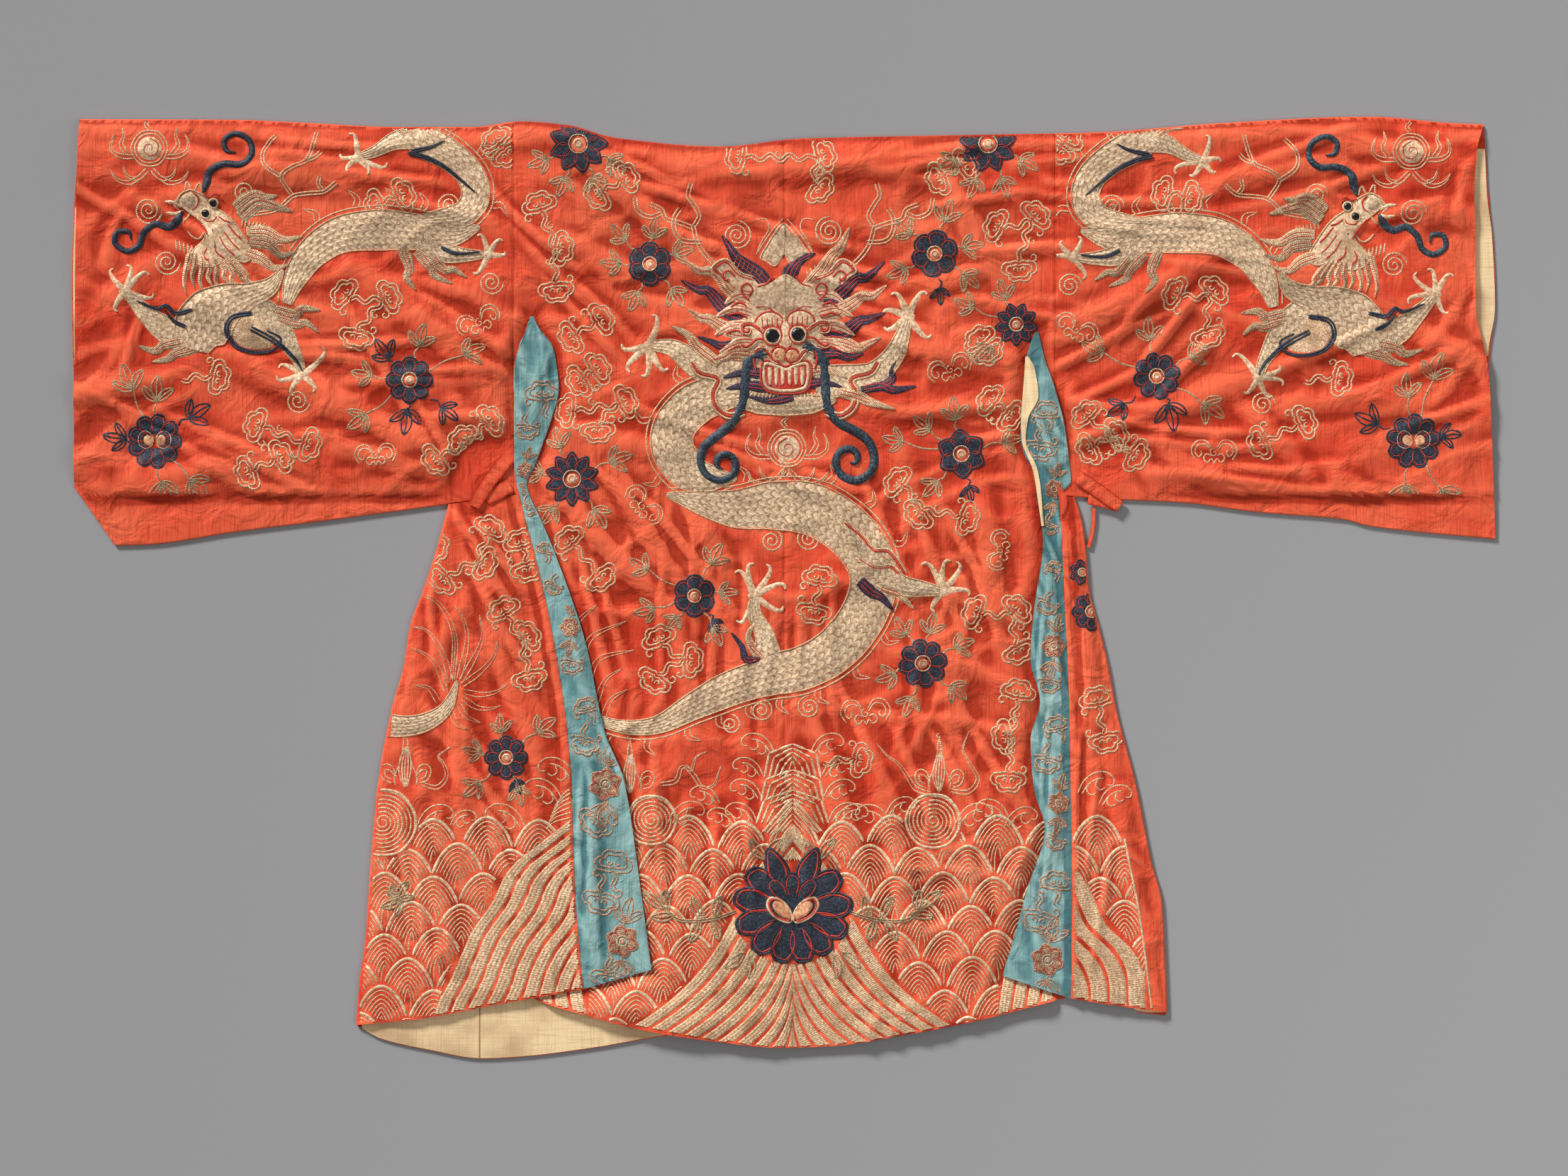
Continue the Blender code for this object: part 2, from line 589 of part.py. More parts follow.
def ties():
    """The tie bands at the armpits, folded where they were last tied."""
    low = TOP_Z + CLOTH / 2
    middle = low + CLOTH + GAP
    high = middle + CLOTH + GAP
    band("tie_left_long", (
        Bend(-352, 166, low, -128, 0, TIE_WIDTH),
        Bend(-362, 153, middle - 0.5, -128, 0, TIE_WIDTH),
        Bend(-371, 142, high - 0.6, -128, 0, TIE_WIDTH),
        Bend(-380, 130, high, -126, 0, TIE_WIDTH),
        Bend(-388, 117, high, -120, 0, TIE_WIDTH),
        Bend(-395, 104, high, -118, 0, 0.9 * TIE_WIDTH),
    ))
    band("tie_left_short", (
        Bend(-349, 131, middle, -150, 0, TIE_WIDTH),
        Bend(-364, 122, middle, -152, 0, TIE_WIDTH),
        Bend(-379, 113, middle, -155, 0, 0.8 * TIE_WIDTH),
    ))
    fold_radius = (middle - low) / 2
    fold_x, fold_y, heading = 427.0, 104.5, -35.0
    turn = []
    for pitch in (0, 60, 120, 180):
        out = fold_radius * math.sin(math.radians(pitch))
        turn.append(Bend(
            fold_x + out * math.cos(math.radians(heading)), fold_y + out * math.sin(math.radians(heading)),
            low + fold_radius * (1 + math.cos(math.radians(pitch))), heading, pitch, 0.9 * TIE_WIDTH,
        ))
    band("tie_right", (
        Bend(375, 141, middle, -30, 0, TIE_WIDTH),
        Bend(392, 130, middle, -33, 0, TIE_WIDTH),
        Bend(410, 117, middle, heading, 0, TIE_WIDTH),
        *turn,
        Bend(415, 109.5, low, -24, 180, TIE_WIDTH),
        Bend(402, 113, low, -14, 180, TIE_WIDTH),
        Bend(388, 115.5, low, -8, 180, TIE_WIDTH),
    ))
    strap_z = BACK_Z + CLOTH / 2
    strap_foot = right_contour(52) + GAP + STRAP_WIDTH / 2 + 0.4
    band("strap_right", (
        Bend(395, 103, strap_z, -92, 0, STRAP_WIDTH),
        Bend(394.6, 84, strap_z, -94, 0, STRAP_WIDTH),
        Bend(392, 66, strap_z, -99, 0, STRAP_WIDTH),
        Bend(strap_foot, 52, strap_z, -104, 0, STRAP_WIDTH),
    ))


def cloth_material(name, colour, roughness, sheen):
    material = bpy.data.materials.new(name)
    material.use_nodes = True
    shader = material.node_tree.nodes["Principled BSDF"]
    shader.inputs["Base Color"].default_value = (*colour, 1.0)
    shader.inputs["Metallic"].default_value = 0.0
    shader.inputs["Roughness"].default_value = roughness
    shader.inputs["Sheen Weight"].default_value = sheen
    return material


for leftover in list(bpy.data.objects):
    bpy.data.objects.remove(leftover)

red_satin = cloth_material("red satin", (0.70, 0.05, 0.02), 0.42, 0.2)
teal_satin = cloth_material("teal satin", (0.08, 0.31, 0.36), 0.45, 0.2)
linen = cloth_material("linen lining", (0.62, 0.47, 0.28), 0.85, 0.0)

robe = bpy.data.objects.new("robe", None)
bpy.context.scene.collection.objects.link(robe)

for side, word in ((-1, "left"), (1, "right")):
    front(f"front_{word}", side)
    back(f"back_{word}", side)
sleeve("sleeve_left", left_sleeve_hem, LEFT_CUFF, -1)
sleeve("sleeve_right", right_sleeve_hem, RIGHT_CUFF, 1)
side_panel("side_left", -1, left_contour, left_flap_left, left_sleeve_hem, left_side_hem)
side_panel("side_right", 1, right_contour, right_flap_right, right_sleeve_hem, right_side_hem)
flap("flap_left", LEFT_FLAP, left_flap_left, left_flap_right, LEFT_FLAP_HEM, LEFT_FLAP_HEM[0].y)
flap("flap_right", RIGHT_FLAP, right_flap_left, right_flap_right, RIGHT_FLAP_HEM, RIGHT_FLAP_HEM[1].y)
turnback()
corner()
ties()
lining("lining_hem_left", -538, -152, lambda x: front_hem(x) + 2.5, lambda x: max(front_hem(x) + 10, min(
    left_side_hem(x) if x < -300 else back_hem(x), back_hem(x) if x > -330 else 0) + 12), 20, 2)
lining("lining_hem_right", 436, 484, lambda x: max(front_hem(x), -543) + 2, lambda x: -515, 4, 2)
cuff_lining("lining_cuff_left", -1, LEFT_CUFF, 285, 485)
cuff_lining("lining_cuff_right", 1, RIGHT_CUFF, 296, 560)
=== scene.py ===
# %% [markdown]
# # A Chinese dragon robe, laid flat with its back up
# The robe is red silk satin, worked all over with gold, navy and copper threads. This lesson dresses the plain
# solids of its cut pieces: first the camera and light, then the cloth with its creases, then the sewing. The solids
# give the place of every piece. The tables of edges below are the ones that they were made from, and the main folds
# lie where theirs do, a little sharper.

# %% Load the solids
import math
from collections import namedtuple

import bpy
import numpy as np
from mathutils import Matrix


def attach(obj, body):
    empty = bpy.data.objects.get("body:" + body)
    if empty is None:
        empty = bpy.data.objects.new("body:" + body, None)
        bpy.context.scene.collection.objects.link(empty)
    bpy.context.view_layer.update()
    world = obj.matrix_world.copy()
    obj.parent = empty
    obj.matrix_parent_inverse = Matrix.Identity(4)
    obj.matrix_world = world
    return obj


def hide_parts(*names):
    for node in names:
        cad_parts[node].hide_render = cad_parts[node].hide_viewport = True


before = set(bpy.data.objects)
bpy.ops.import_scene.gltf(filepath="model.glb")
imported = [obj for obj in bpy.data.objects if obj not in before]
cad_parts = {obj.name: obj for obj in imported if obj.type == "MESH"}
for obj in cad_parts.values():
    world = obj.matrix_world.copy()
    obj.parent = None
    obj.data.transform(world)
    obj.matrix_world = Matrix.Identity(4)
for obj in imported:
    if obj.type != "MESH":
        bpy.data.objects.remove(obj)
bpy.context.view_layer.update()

MM = 0.001

# %% [markdown]
# ## Camera, floor and light
# The robe lies on the floor, and the camera looks straight down on it through a long lens, so nothing leans. One
# large lamp stands low at the upper left, so that soft folds cast soft shade, and a weaker one fills from the right.

# %% Helpers for colours and nodes
def deselect():
    bpy.ops.object.select_all(action="DESELECT")


def linear(hex_colour):
    """An sRGB colour such as "d9402a" as the linear colour that a shader takes."""
    parts = [int(hex_colour[i:i + 2], 16) / 255 for i in (0, 2, 4)]
    return (*[p / 12.92 if p <= 0.04045 else ((p + 0.055) / 1.055) ** 2.4 for p in parts], 1.0)


def add_node(tree, kind, inputs=(), **settings):
    """Adds a node to a tree. Each of its inputs takes a value, or the socket that is linked to it."""
    node = tree.nodes.new("ShaderNode" + kind)
    for name, value in settings.items():
        setattr(node, name, value)
    for socket, value in dict(inputs).items():
        if isinstance(value, bpy.types.NodeSocket):
            tree.links.new(value, node.inputs[socket])
        else:
            node.inputs[socket].default_value = value
    return node


print("a warm red as a linear colour:", [round(part, 3) for part in linear("db462f")])

# %% The picture: 2 m across, seen from above
PICTURE_WIDTH = 2.0
LENS, SENSOR = 130.0, 36.0
deselect()
distance = PICTURE_WIDTH * LENS / SENSOR
bpy.ops.object.camera_add(location=(0, 0, distance), rotation=(0, 0, 0))
camera = bpy.context.object
camera.data.lens = LENS
camera.data.sensor_width = SENSOR
bpy.context.scene.camera = camera
print("camera", round(distance, 2), "m above the robe")

# %% Studio light, and a pale floor
world = bpy.data.worlds.new("studio")
world.use_nodes = True
world.node_tree.nodes["Background"].inputs["Color"].default_value = linear("f4f1ee")
world.node_tree.nodes["Background"].inputs["Strength"].default_value = 0.32
bpy.context.scene.world = world
bpy.context.scene.view_settings.view_transform = "Standard"

LAMPS = (
    # name, kind, place, strength, softness: an angle in degrees for a sun, a side in metres for a panel
    ("key", "SUN", (-2.3, 3.4, 1.75), 4.5, 11.0),
    ("fill", "AREA", (2.6, -1.4, 2.8), 34.0, 2.4),
)
for name, kind, place, strength, softness in LAMPS:
    deselect()
    bpy.ops.object.light_add(type=kind, location=place)
    lamp = bpy.context.object
    lamp.name = name
    lamp.data.energy = strength
    if kind == "SUN":
        lamp.data.angle = math.radians(softness)
    else:
        lamp.data.size = softness
    lamp.rotation_euler = (math.atan2(math.hypot(place[0], place[1]), place[2]), 0,
                           math.atan2(place[1], place[0]) + math.pi / 2)

deselect()
bpy.ops.mesh.primitive_plane_add(size=9, location=(0, 0, -0.0004))
floor = bpy.context.object
floor.name = "floor"
paper = bpy.data.materials.new("pale_paper")
paper.use_nodes = True
paper.node_tree.nodes["Principled BSDF"].inputs["Base Color"].default_value = linear("98989a")
paper.node_tree.nodes["Principled BSDF"].inputs["Roughness"].default_value = 0.9
floor.data.materials.append(paper)
print("lamps:", [lamp[0] for lamp in LAMPS])

# %% [markdown]
# ## The edges of the cut pieces
# A robe like this is cut from straight loom widths, and only its edges wander as it lies. Short tables hold those
# edges, in millimetres, and a smooth curve runs through each column. The curve never overshoots a row, so an edge
# has no more waves than its table gives it.

# %% Sizes of the cloth and its layers
CLOTH, LINING, GAP = 1.6, 1.0, 0.3
BACK_Z = CLOTH + GAP
TOP_Z = BACK_Z + CLOTH + GAP
TIE_Z = TOP_Z + CLOTH + GAP
LINING_LIFT = LINING + GAP
SHOULDER_SEAM, SIDE_SEAM_HEM, ARMPIT = 345.0, 389.0, 118.0
FRONT_FOOT, BACK_FLARE, LEFT_CORNER = -600.5, 50.0, -853.0
NECK_HALF_WIDTH, NECK_DEPTH = 80.0, 110.0
TIE_WIDTH, STRAP_WIDTH = 18.0, 5.0
LEFT_TIE_SPOT, RIGHT_TIE_SPOT = (-372.0, 138.0, 48.0), (400.0, 122.0, 52.0)
COVER_FADE, EDGE_FADE, FOOT_FADE = 22.0, 16.0, 40.0
print("the layers' faces are at", CLOTH, BACK_Z + CLOTH, TOP_Z + CLOTH, "mm")


# %% Tables of the edges
def table(columns, *rows):
    """Rows of numbers under named columns."""
    row_of = namedtuple("Row", columns)
    return [row_of(*row) for row in rows]


SHOULDER = table(
    "x y", (-900, 598), (-700, 597), (-605, 593), (-500, 588), (-395, 588), (-335, 595), (-275, 590), (-215, 574),
    (-80, 563), (20, 573), (200, 577), (400, 581), (560, 593), (745, 601), (850, 593), (895, 591),
)
LEFT_SLEEVE_HEM = table(
    "x y", (-905, 128), (-880, 93), (-858, 61), (LEFT_CORNER, 54), (-815, 55), (-695, 72), (-575, 87), (-420, 108),
    (-345, 119),
)
RIGHT_SLEEVE_HEM = table("x y", (345, 118), (420, 113), (505, 109), (600, 97), (715, 87), (745, 79), (908, 62))
LEFT_CUFF = table(
    "y upper lower", (600, -898, -898), (560, -900, -900), (490, -902, -905), (400, -903, -908), (300, -904, -907),
    (250, -905, -905), (128, -905, -905), (54, -905, -905),
)
RIGHT_CUFF = table(
    "y upper lower", (591, 892, 892), (559, 883, 895), (500, 879, 898), (450, 881, 904), (358, 881, 908),
    (305, 892, 900), (270, 898, 898), (190, 902, 902), (62, 907, 907),
)
LEFT_SIDE = table(
    "y contour", (118, -425), (50, -443), (0, -459), (-50, -477), (-100, -485), (-150, -499), (-250, -518),
    (-350, -527), (-450, -534), (-500, -541), (-560, -546),
)
RIGHT_SIDE = table(
    "y contour", (118, 370), (90, 379), (50, 385), (0, 389), (-50, 402), (-100, 414), (-150, 423), (-250, 449),
    (-350, 469), (-400, 482), (-450, 485), (-545, 489),
)
LEFT_FLAP = table(
    "y left right", (346, -323, -319), (333, -327, -313), (308, -337, -295), (286, -343, -290), (255, -344, -287),
    (220, -344, -295), (193, -344, -304), (156, -344, -318), (133, -341, -328), (118, -337, -324), (88, -330, -310),
    (45, -318, -292), (-69, -293, -253), (-184, -276, -228), (-244, -271, -204), (-374, -267, -184),
    (-486, -258, -169), (-511, -255, -166),
)
RIGHT_FLAP = table(
    "y left right", (326, 320, 324), (309, 313, 328), (289, 308, 333), (252, 305, 346), (197, 301, 359),
    (173, 305, 362), (150, 317, 365), (135, 320, 366), (118, 322, 351), (60, 330, 354), (-32, 318, 358),
    (-89, 314, 361), (-145, 326, 363), (-194, 314, 364), (-254, 318, 365), (-307, 332, 366), (-383, 310, 367),
    (-456, 290, 366), (-494, 279, 366), (-523, 276, 365),
)
LEFT_FLAP_HEM = table("x y", (-256, -511), (-168, -486))
RIGHT_FLAP_HEM = table("x y", (278, -494), (365, -523))
TURNBACK = table(
    "y left right", (295, 307.5, 311), (281, 306.7, 319), (244, 304, 324), (216, 302, 311), (189, 303, 308),
    (150, 317, 323), (126, 321.5, 327), (79, 328, 331),
)
FRONT_HEM = table(
    "x y", (-546, -557), (-515, -575), (-455, -589), (-385, FRONT_FOOT), (-335, -598), (-245, -587), (-142, -570),
    (0, -558), (200, -540), (345, -512), (430, -522), (450, -541), (489, -545),
)
BACK_HEM = table(
    "x y", (-400, -492), (-340, -496), (-318, -523), (-257, -543), (-171, -565), (-95, -577), (0, -586), (60, -584),
    (145, -571), (235, -554), (345, -526), (400, -512),
)
LEFT_SIDE_HEM = table("x y", (-546, -557), (-464, -549), (-362, -530), (-255, -511))
RIGHT_SIDE_HEM = table("x y", (365, -523), (415, -531), (489, -541))
print("the back's hem has", len(BACK_HEM), "rows, and a flap", len(LEFT_FLAP))


# %% A smooth curve through one column of a table
def mix(a, b, t):
    return a + (b - a) * t


def smooth(t):
    """From 0 to 1 as t goes from 0 to 1, with a soft start and end."""
    t = np.clip(t, 0.0, 1.0)
    return t * t * (3 - 2 * t)


def curve(rows, key, value):
    """One column of a table as a smooth function of another, for single numbers and for arrays."""
    keys, values = np.array(sorted((getattr(row, key), getattr(row, value)) for row in rows), float).T
    rises = np.diff(values) / np.diff(keys)
    before, after = rises[:-1], rises[1:]
    level = before * after <= 0
    inner = 2 * before * after / np.where(level, 1.0, before + after)
    slopes = np.concatenate([rises[:1], np.where(level, 0.0, inner), rises[-1:]])

    def at(where):
        where = np.clip(where, keys[0], keys[-1])
        i = np.clip(np.searchsorted(keys, where, side="right") - 1, 0, len(keys) - 2)
        span = keys[i + 1] - keys[i]
        t = (where - keys[i]) / span
        start = values[i] * (1 + 2 * t) * (1 - t) ** 2 + values[i + 1] * t * t * (3 - 2 * t)
        return start + span * (slopes[i] * t * (1 - t) ** 2 - slopes[i + 1] * t * t * (1 - t))

    return at


shoulder = curve(SHOULDER, "x", "y")
left_sleeve_hem, right_sleeve_hem = curve(LEFT_SLEEVE_HEM, "x", "y"), curve(RIGHT_SLEEVE_HEM, "x", "y")
front_hem, back_hem = curve(FRONT_HEM, "x", "y"), curve(BACK_HEM, "x", "y")
left_contour, right_contour = curve(LEFT_SIDE, "y", "contour"), curve(RIGHT_SIDE, "y", "contour")
left_flap_left, left_flap_right = curve(LEFT_FLAP, "y", "left"), curve(LEFT_FLAP, "y", "right")
right_flap_left, right_flap_right = curve(RIGHT_FLAP, "y", "left"), curve(RIGHT_FLAP, "y", "right")
left_side_hem, right_side_hem = curve(LEFT_SIDE_HEM, "x", "y"), curve(RIGHT_SIDE_HEM, "x", "y")
left_flap_hem, right_flap_hem = curve(LEFT_FLAP_HEM, "x", "y"), curve(RIGHT_FLAP_HEM, "x", "y")
print("shoulder height in the middle:", round(float(shoulder(0)), 1), "mm")

# %% [markdown]
# ## Folds and creases
# Satin holds the folds that it was stored in. Each fold here is one row: where its middle is, how long and wide it
# is, which way it runs, how high it stands and how far its ends bow. The large ones are those of the solids. The
# creases are finer, and they are placed where the cloth pulls: from the armpits, along the shoulders and down the
# skirt. The heights are worked out once, on a map with a cell every 2 mm, and everything that lies on the cloth
# reads the same map, so the sewing follows the folds.

# %% Tables of the folds
Fold = namedtuple("Fold", "x y length width turn height bow", defaults=(0,))
Creases = namedtuple("Creases", "x y across down turn length width height count")
BACK_FOLDS = [Fold(*row) for row in (
    # the left sleeve, towards its armpit
    (-640, 530, 330, 60, -6, 6.9, 10), (-770, 500, 190, 51, 12, 5.0), (-460, 345, 280, 68, -40, 10.0, -18),
    (-560, 232, 420, 64, -27, 9.4, -14), (-500, 165, 260, 47, -14, 6.9), (-700, 340, 260, 72, -22, 7.5),
    (-740, 150, 240, 51, 6, 5.6), (-840, 260, 170, 51, 10, 5.0), (-430, 480, 200, 51, -22, 5.6),
    (-820, 400, 160, 51, 35, 5.0),
    # the right sleeve
    (455, 375, 300, 64, 28, 9.4, 16), (600, 525, 300, 51, 14, 6.9), (760, 560, 220, 47, -6, 5.6),
    (560, 255, 330, 68, 20, 7.5, 10), (830, 480, 150, 51, -4, 5.0), (850, 305, 140, 51, -28, 6.9),
    (735, 240, 260, 55, 4, 6.9), (620, 195, 200, 51, -48, 6.9), (530, 150, 180, 51, -34, 5.6),
    (740, 120, 160, 47, -32, 5.0), (690, 400, 260, 72, -12, 5.6),
    # the upper back
    (-185, 490, 290, 55, -42, 10.0), (-255, 430, 200, 51, -25, 5.6), (235, 470, 230, 51, -62, 6.9),
    (90, 540, 300, 51, 3, 5.0), (-100, 330, 260, 60, -14, 5.0), (205, 300, 220, 51, -12, 6.9),
    (190, 232, 240, 51, 0, 5.6), (230, 400, 180, 47, 18, 5.6), (-200, 185, 220, 51, -12, 6.9),
    # the pull below the left armpit
    (-235, 62, 270, 44, -48, 11.2, 12), (-170, 60, 250, 42, -58, 9.4, 10), (-100, 70, 210, 47, -62, 6.9),
    # the lower back, where the folds run down
    (-130, -85, 230, 51, -80, 7.5), (-60, -130, 260, 51, -82, 6.9), (-15, -290, 260, 51, -84, 5.6),
    (78, -320, 420, 53, -76, 10.0, -10), (140, -330, 420, 51, -78, 7.5, -10), (262, 30, 250, 53, -82, 8.8),
    (215, -150, 260, 60, -86, 5.6), (165, 90, 220, 51, -80, 5.0), (-110, -420, 240, 60, -80, 5.0),
    (235, -380, 220, 60, -84, 5.0),
)]
TOP_FOLDS = [Fold(*row) for row in (
    (-375, -20, 210, 47, -80, 5.4), (-338, -150, 210, 47, -72, 6.1), (-412, -210, 260, 51, -88, 5.4),
    (-430, -60, 170, 42, 60, 4.1), (-330, -330, 300, 51, -85, 4.1), (-450, -400, 200, 60, -70, 4.1),
    (-316, 250, 130, 29, 84, 3.4), (-242, -345, 340, 28, -89, 5.2), (-262, -90, 200, 26, -76, 4.0),
    (334, 235, 150, 34, -80, 4.1), (342, -40, 240, 29, -86, 4.1), (345, -270, 260, 32, -90, 4.1),
    (392, -180, 420, 36, -88, 6.1), (436, -330, 330, 37, -79, 5.4),
)]
BACK_CREASES = [Creases(*row) for row in (
    # the left sleeve, the pull into its armpit, and its cuff
    (-640, 480, 480, 170, -20, 185, 21, 4.2, 9), (-610, 215, 480, 190, -14, 205, 21, 4.2, 10),
    (-430, 270, 170, 190, -45, 180, 20, 5.0, 7), (-860, 310, 70, 320, 62, 130, 20, 3.3, 4),
    # the right sleeve
    (610, 480, 440, 170, 6, 185, 21, 3.9, 9), (650, 215, 430, 190, 8, 195, 21, 4.1, 10),
    (450, 280, 150, 190, 38, 195, 21, 4.7, 7), (860, 380, 60, 300, 66, 130, 20, 3.3, 4),
    # the upper back, and the pull below the left armpit
    (-210, 440, 240, 240, -32, 175, 20, 4.4, 7), (170, 430, 320, 260, -6, 175, 20, 3.8, 9),
    (-200, 30, 210, 170, -62, 205, 19, 5.4, 7), (100, 190, 440, 150, -8, 195, 20, 3.8, 7),
    # the middle of the back and the skirt, where the creases run down
    (70, -30, 460, 210, -82, 215, 19, 4.4, 13), (40, -330, 500, 270, -80, 225, 20, 4.1, 15),
)]
TOP_CREASES = [Creases(*row) for row in (
    (-395, -70, 110, 280, -74, 175, 18, 3.7, 8), (-410, -370, 150, 260, -72, 170, 19, 3.1, 8),
    (-240, -230, 60, 460, -78, 190, 15, 2.9, 6), (-305, 210, 40, 150, 78, 90, 13, 2.4, 3),
    (342, -120, 30, 560, -83, 150, 13, 3.1, 8), (420, -250, 90, 420, -84, 195, 16, 3.9, 8),
)]


def folds_of(families):
    """Each family as single folds that run much the same way, spread over its patch by steps of the golden ratio."""
    made = []
    for family in families:
        for k in range(family.count):
            one, two, three = ((0.618 * k + 0.3) % 1, (0.414 * k + 0.1) % 1, (0.732 * k + 0.6) % 1)
            made.append(Fold(
                family.x + family.across * (one - 0.5), family.y + family.down * (two - 0.5),
                family.length * (0.75 + 0.5 * three), family.width, family.turn + 26 * (one + two - 1),
                family.height * (0.8 + 0.4 * two), 16 * (three - 0.5),
            ))
    return made


print("folds:", len(BACK_FOLDS + TOP_FOLDS), "creases:", len(folds_of(BACK_CREASES + TOP_CREASES)))

# %% How folds and puckers are put on a map
LATTICE = 256
CELL, HIGHEST = 2.0, 17.5
MAP_XS, MAP_YS = np.arange(-922, 923, CELL), np.arange(-614, 615, CELL)
MAP_X, MAP_Y = np.meshgrid(MAP_XS, MAP_YS)


def ridge(fold, x, y):
    """The height of one fold: highest in its middle, and down to nothing at its ends and sides."""
    turn = math.radians(fold.turn)
    along = (x - fold.x) * math.cos(turn) + (y - fold.y) * math.sin(turn)
    across = (y - fold.y) * math.cos(turn) - (x - fold.x) * math.sin(turn)
    across = across - fold.bow * (2 * along / fold.length) ** 2
    inside = (abs(along) < fold.length / 2) & (abs(across) < fold.width / 2)
    height = fold.height * np.cos(math.pi * along / fold.length) * np.cos(math.pi * across / fold.width) ** 2
    return np.where(inside, height, 0.0)


def rise(folds):
    """The map of many folds. Where two cross, the higher one leads."""
    total = np.zeros(MAP_X.shape)
    for fold in folds:
        reach = fold.length / 2 + fold.width + abs(fold.bow)
        rows = slice(*np.searchsorted(MAP_YS, (fold.y - reach, fold.y + reach)))
        columns = slice(*np.searchsorted(MAP_XS, (fold.x - reach, fold.x + reach)))
        total[rows, columns] += ridge(fold, MAP_X[rows, columns], MAP_Y[rows, columns]) ** 3
    return np.cbrt(total)


def puckers(cell, turn, stretch, seed):
    """Uneven small rises, as random heights on a turned lattice that are joined softly, from 0 to 1."""
    turn = math.radians(turn)
    x = MAP_X * math.cos(turn) + MAP_Y * math.sin(turn) + 14 * np.sin(MAP_Y / 61) + 9 * np.sin(MAP_X / 37)
    y = MAP_Y * math.cos(turn) - MAP_X * math.sin(turn) + 12 * np.sin(MAP_X / 53) + 8 * np.sin(MAP_Y / 29)
    x, y = x / (cell * stretch) + 100, y / cell + 100
    lattice = np.random.default_rng(seed).random((LATTICE, LATTICE))
    i, j = np.floor(x).astype(int), np.floor(y).astype(int)
    s, t = smooth(x - i), smooth(y - j)
    low = mix(lattice[j % LATTICE, i % LATTICE], lattice[j % LATTICE, (i + 1) % LATTICE], s)
    high = mix(lattice[(j + 1) % LATTICE, i % LATTICE], lattice[(j + 1) % LATTICE, (i + 1) % LATTICE], s)
    return mix(low, high, t)


def sharp(field):
    """Turns a soft field into narrow crests."""
    return (1 - abs(2 * field - 1)) ** 2.2


def held(height):
    """Lets low places be, and keeps the highest under the limit of the robe's thickness."""
    return HIGHEST * np.tanh(height / HIGHEST)


def reader(field):
    """A map as a function of x and y, joined straight between its cells."""

    def at(x, y):
        column = np.clip((x - MAP_XS[0]) / CELL, 0, len(MAP_XS) - 1.001)
        row = np.clip((y - MAP_YS[0]) / CELL, 0, len(MAP_YS) - 1.001)
        i, j = np.floor(column).astype(int), np.floor(row).astype(int)
        s, t = column - i, row - j
        return mix(mix(field[j, i], field[j, i + 1], s), mix(field[j + 1, i], field[j + 1, i + 1], s), t)

    return at


print("map:", len(MAP_XS), "by", len(MAP_YS), "cells")


# %% Where the cloth is held down
def past_spot(spot, x, y):
    return np.hypot(x - spot[0], y - spot[1]) - spot[2]


def past_flap(x, y):
    """How far a point of the back is from the flap, or the side panel, that lies on it."""
    left_outer = np.where(y > ARMPIT, left_flap_left(y), -np.inf)
    right_outer = np.where(y > ARMPIT, right_flap_right(y), np.inf)
    left_foot = np.where(x < left_flap_left(y), left_side_hem(x), left_flap_hem(x))
    right_foot = np.where(x > right_flap_right(y), right_side_hem(x), right_flap_hem(x))
    left = np.maximum.reduce([x - left_flap_right(y), left_outer - x, y - LEFT_FLAP[0].y, left_foot - y])
    right = np.maximum.reduce([right_flap_left(y) - x, x - right_outer, y - RIGHT_FLAP[0].y, right_foot - y])
    return np.where(x < 0, left, right)


def past_tie(x, y):
    return np.where(x < 0, past_spot(LEFT_TIE_SPOT, x, y), past_spot(RIGHT_TIE_SPOT, x, y))


print("the middle of the back is", round(float(past_flap(0, 0))), "mm from a flap")

# %% The maps of height
lower_edge = np.where(MAP_X < -SHOULDER_SEAM, left_sleeve_hem(MAP_X), -np.inf)
lower_edge = np.where(MAP_X > SHOULDER_SEAM, right_sleeve_hem(MAP_X), lower_edge)
calm = smooth((shoulder(MAP_X) - MAP_Y) / EDGE_FADE) * smooth((MAP_Y - lower_edge) / FOOT_FADE)
clear = smooth(past_flap(MAP_X, MAP_Y) / COVER_FADE) * smooth(past_tie(MAP_X, MAP_Y) / COVER_FADE)
over_cuff_lining = smooth((abs(MAP_X) - 800) / 60) * calm
over_hem_lining = smooth((-450 - MAP_Y) / 50) * smooth((-60 - MAP_X) / 80)
lift = LINING_LIFT * np.maximum(over_cuff_lining, over_hem_lining)
small = 4.2 * sharp(puckers(64, -18, 2.2, 3)) + 2.6 * sharp(puckers(33, 14, 2.4, 5)) + 3.0 * puckers(58, 70, 1.6, 8)
steep = sharp(puckers(34, 74, 3.2, 21)) * smooth((240 - MAP_Y) / 260) * smooth((400 - abs(MAP_X)) / 60)
back_rise = reader(held(rise(BACK_FOLDS) + rise(folds_of(BACK_CREASES)) + small + 3.4 * steep) * calm * clear + lift)

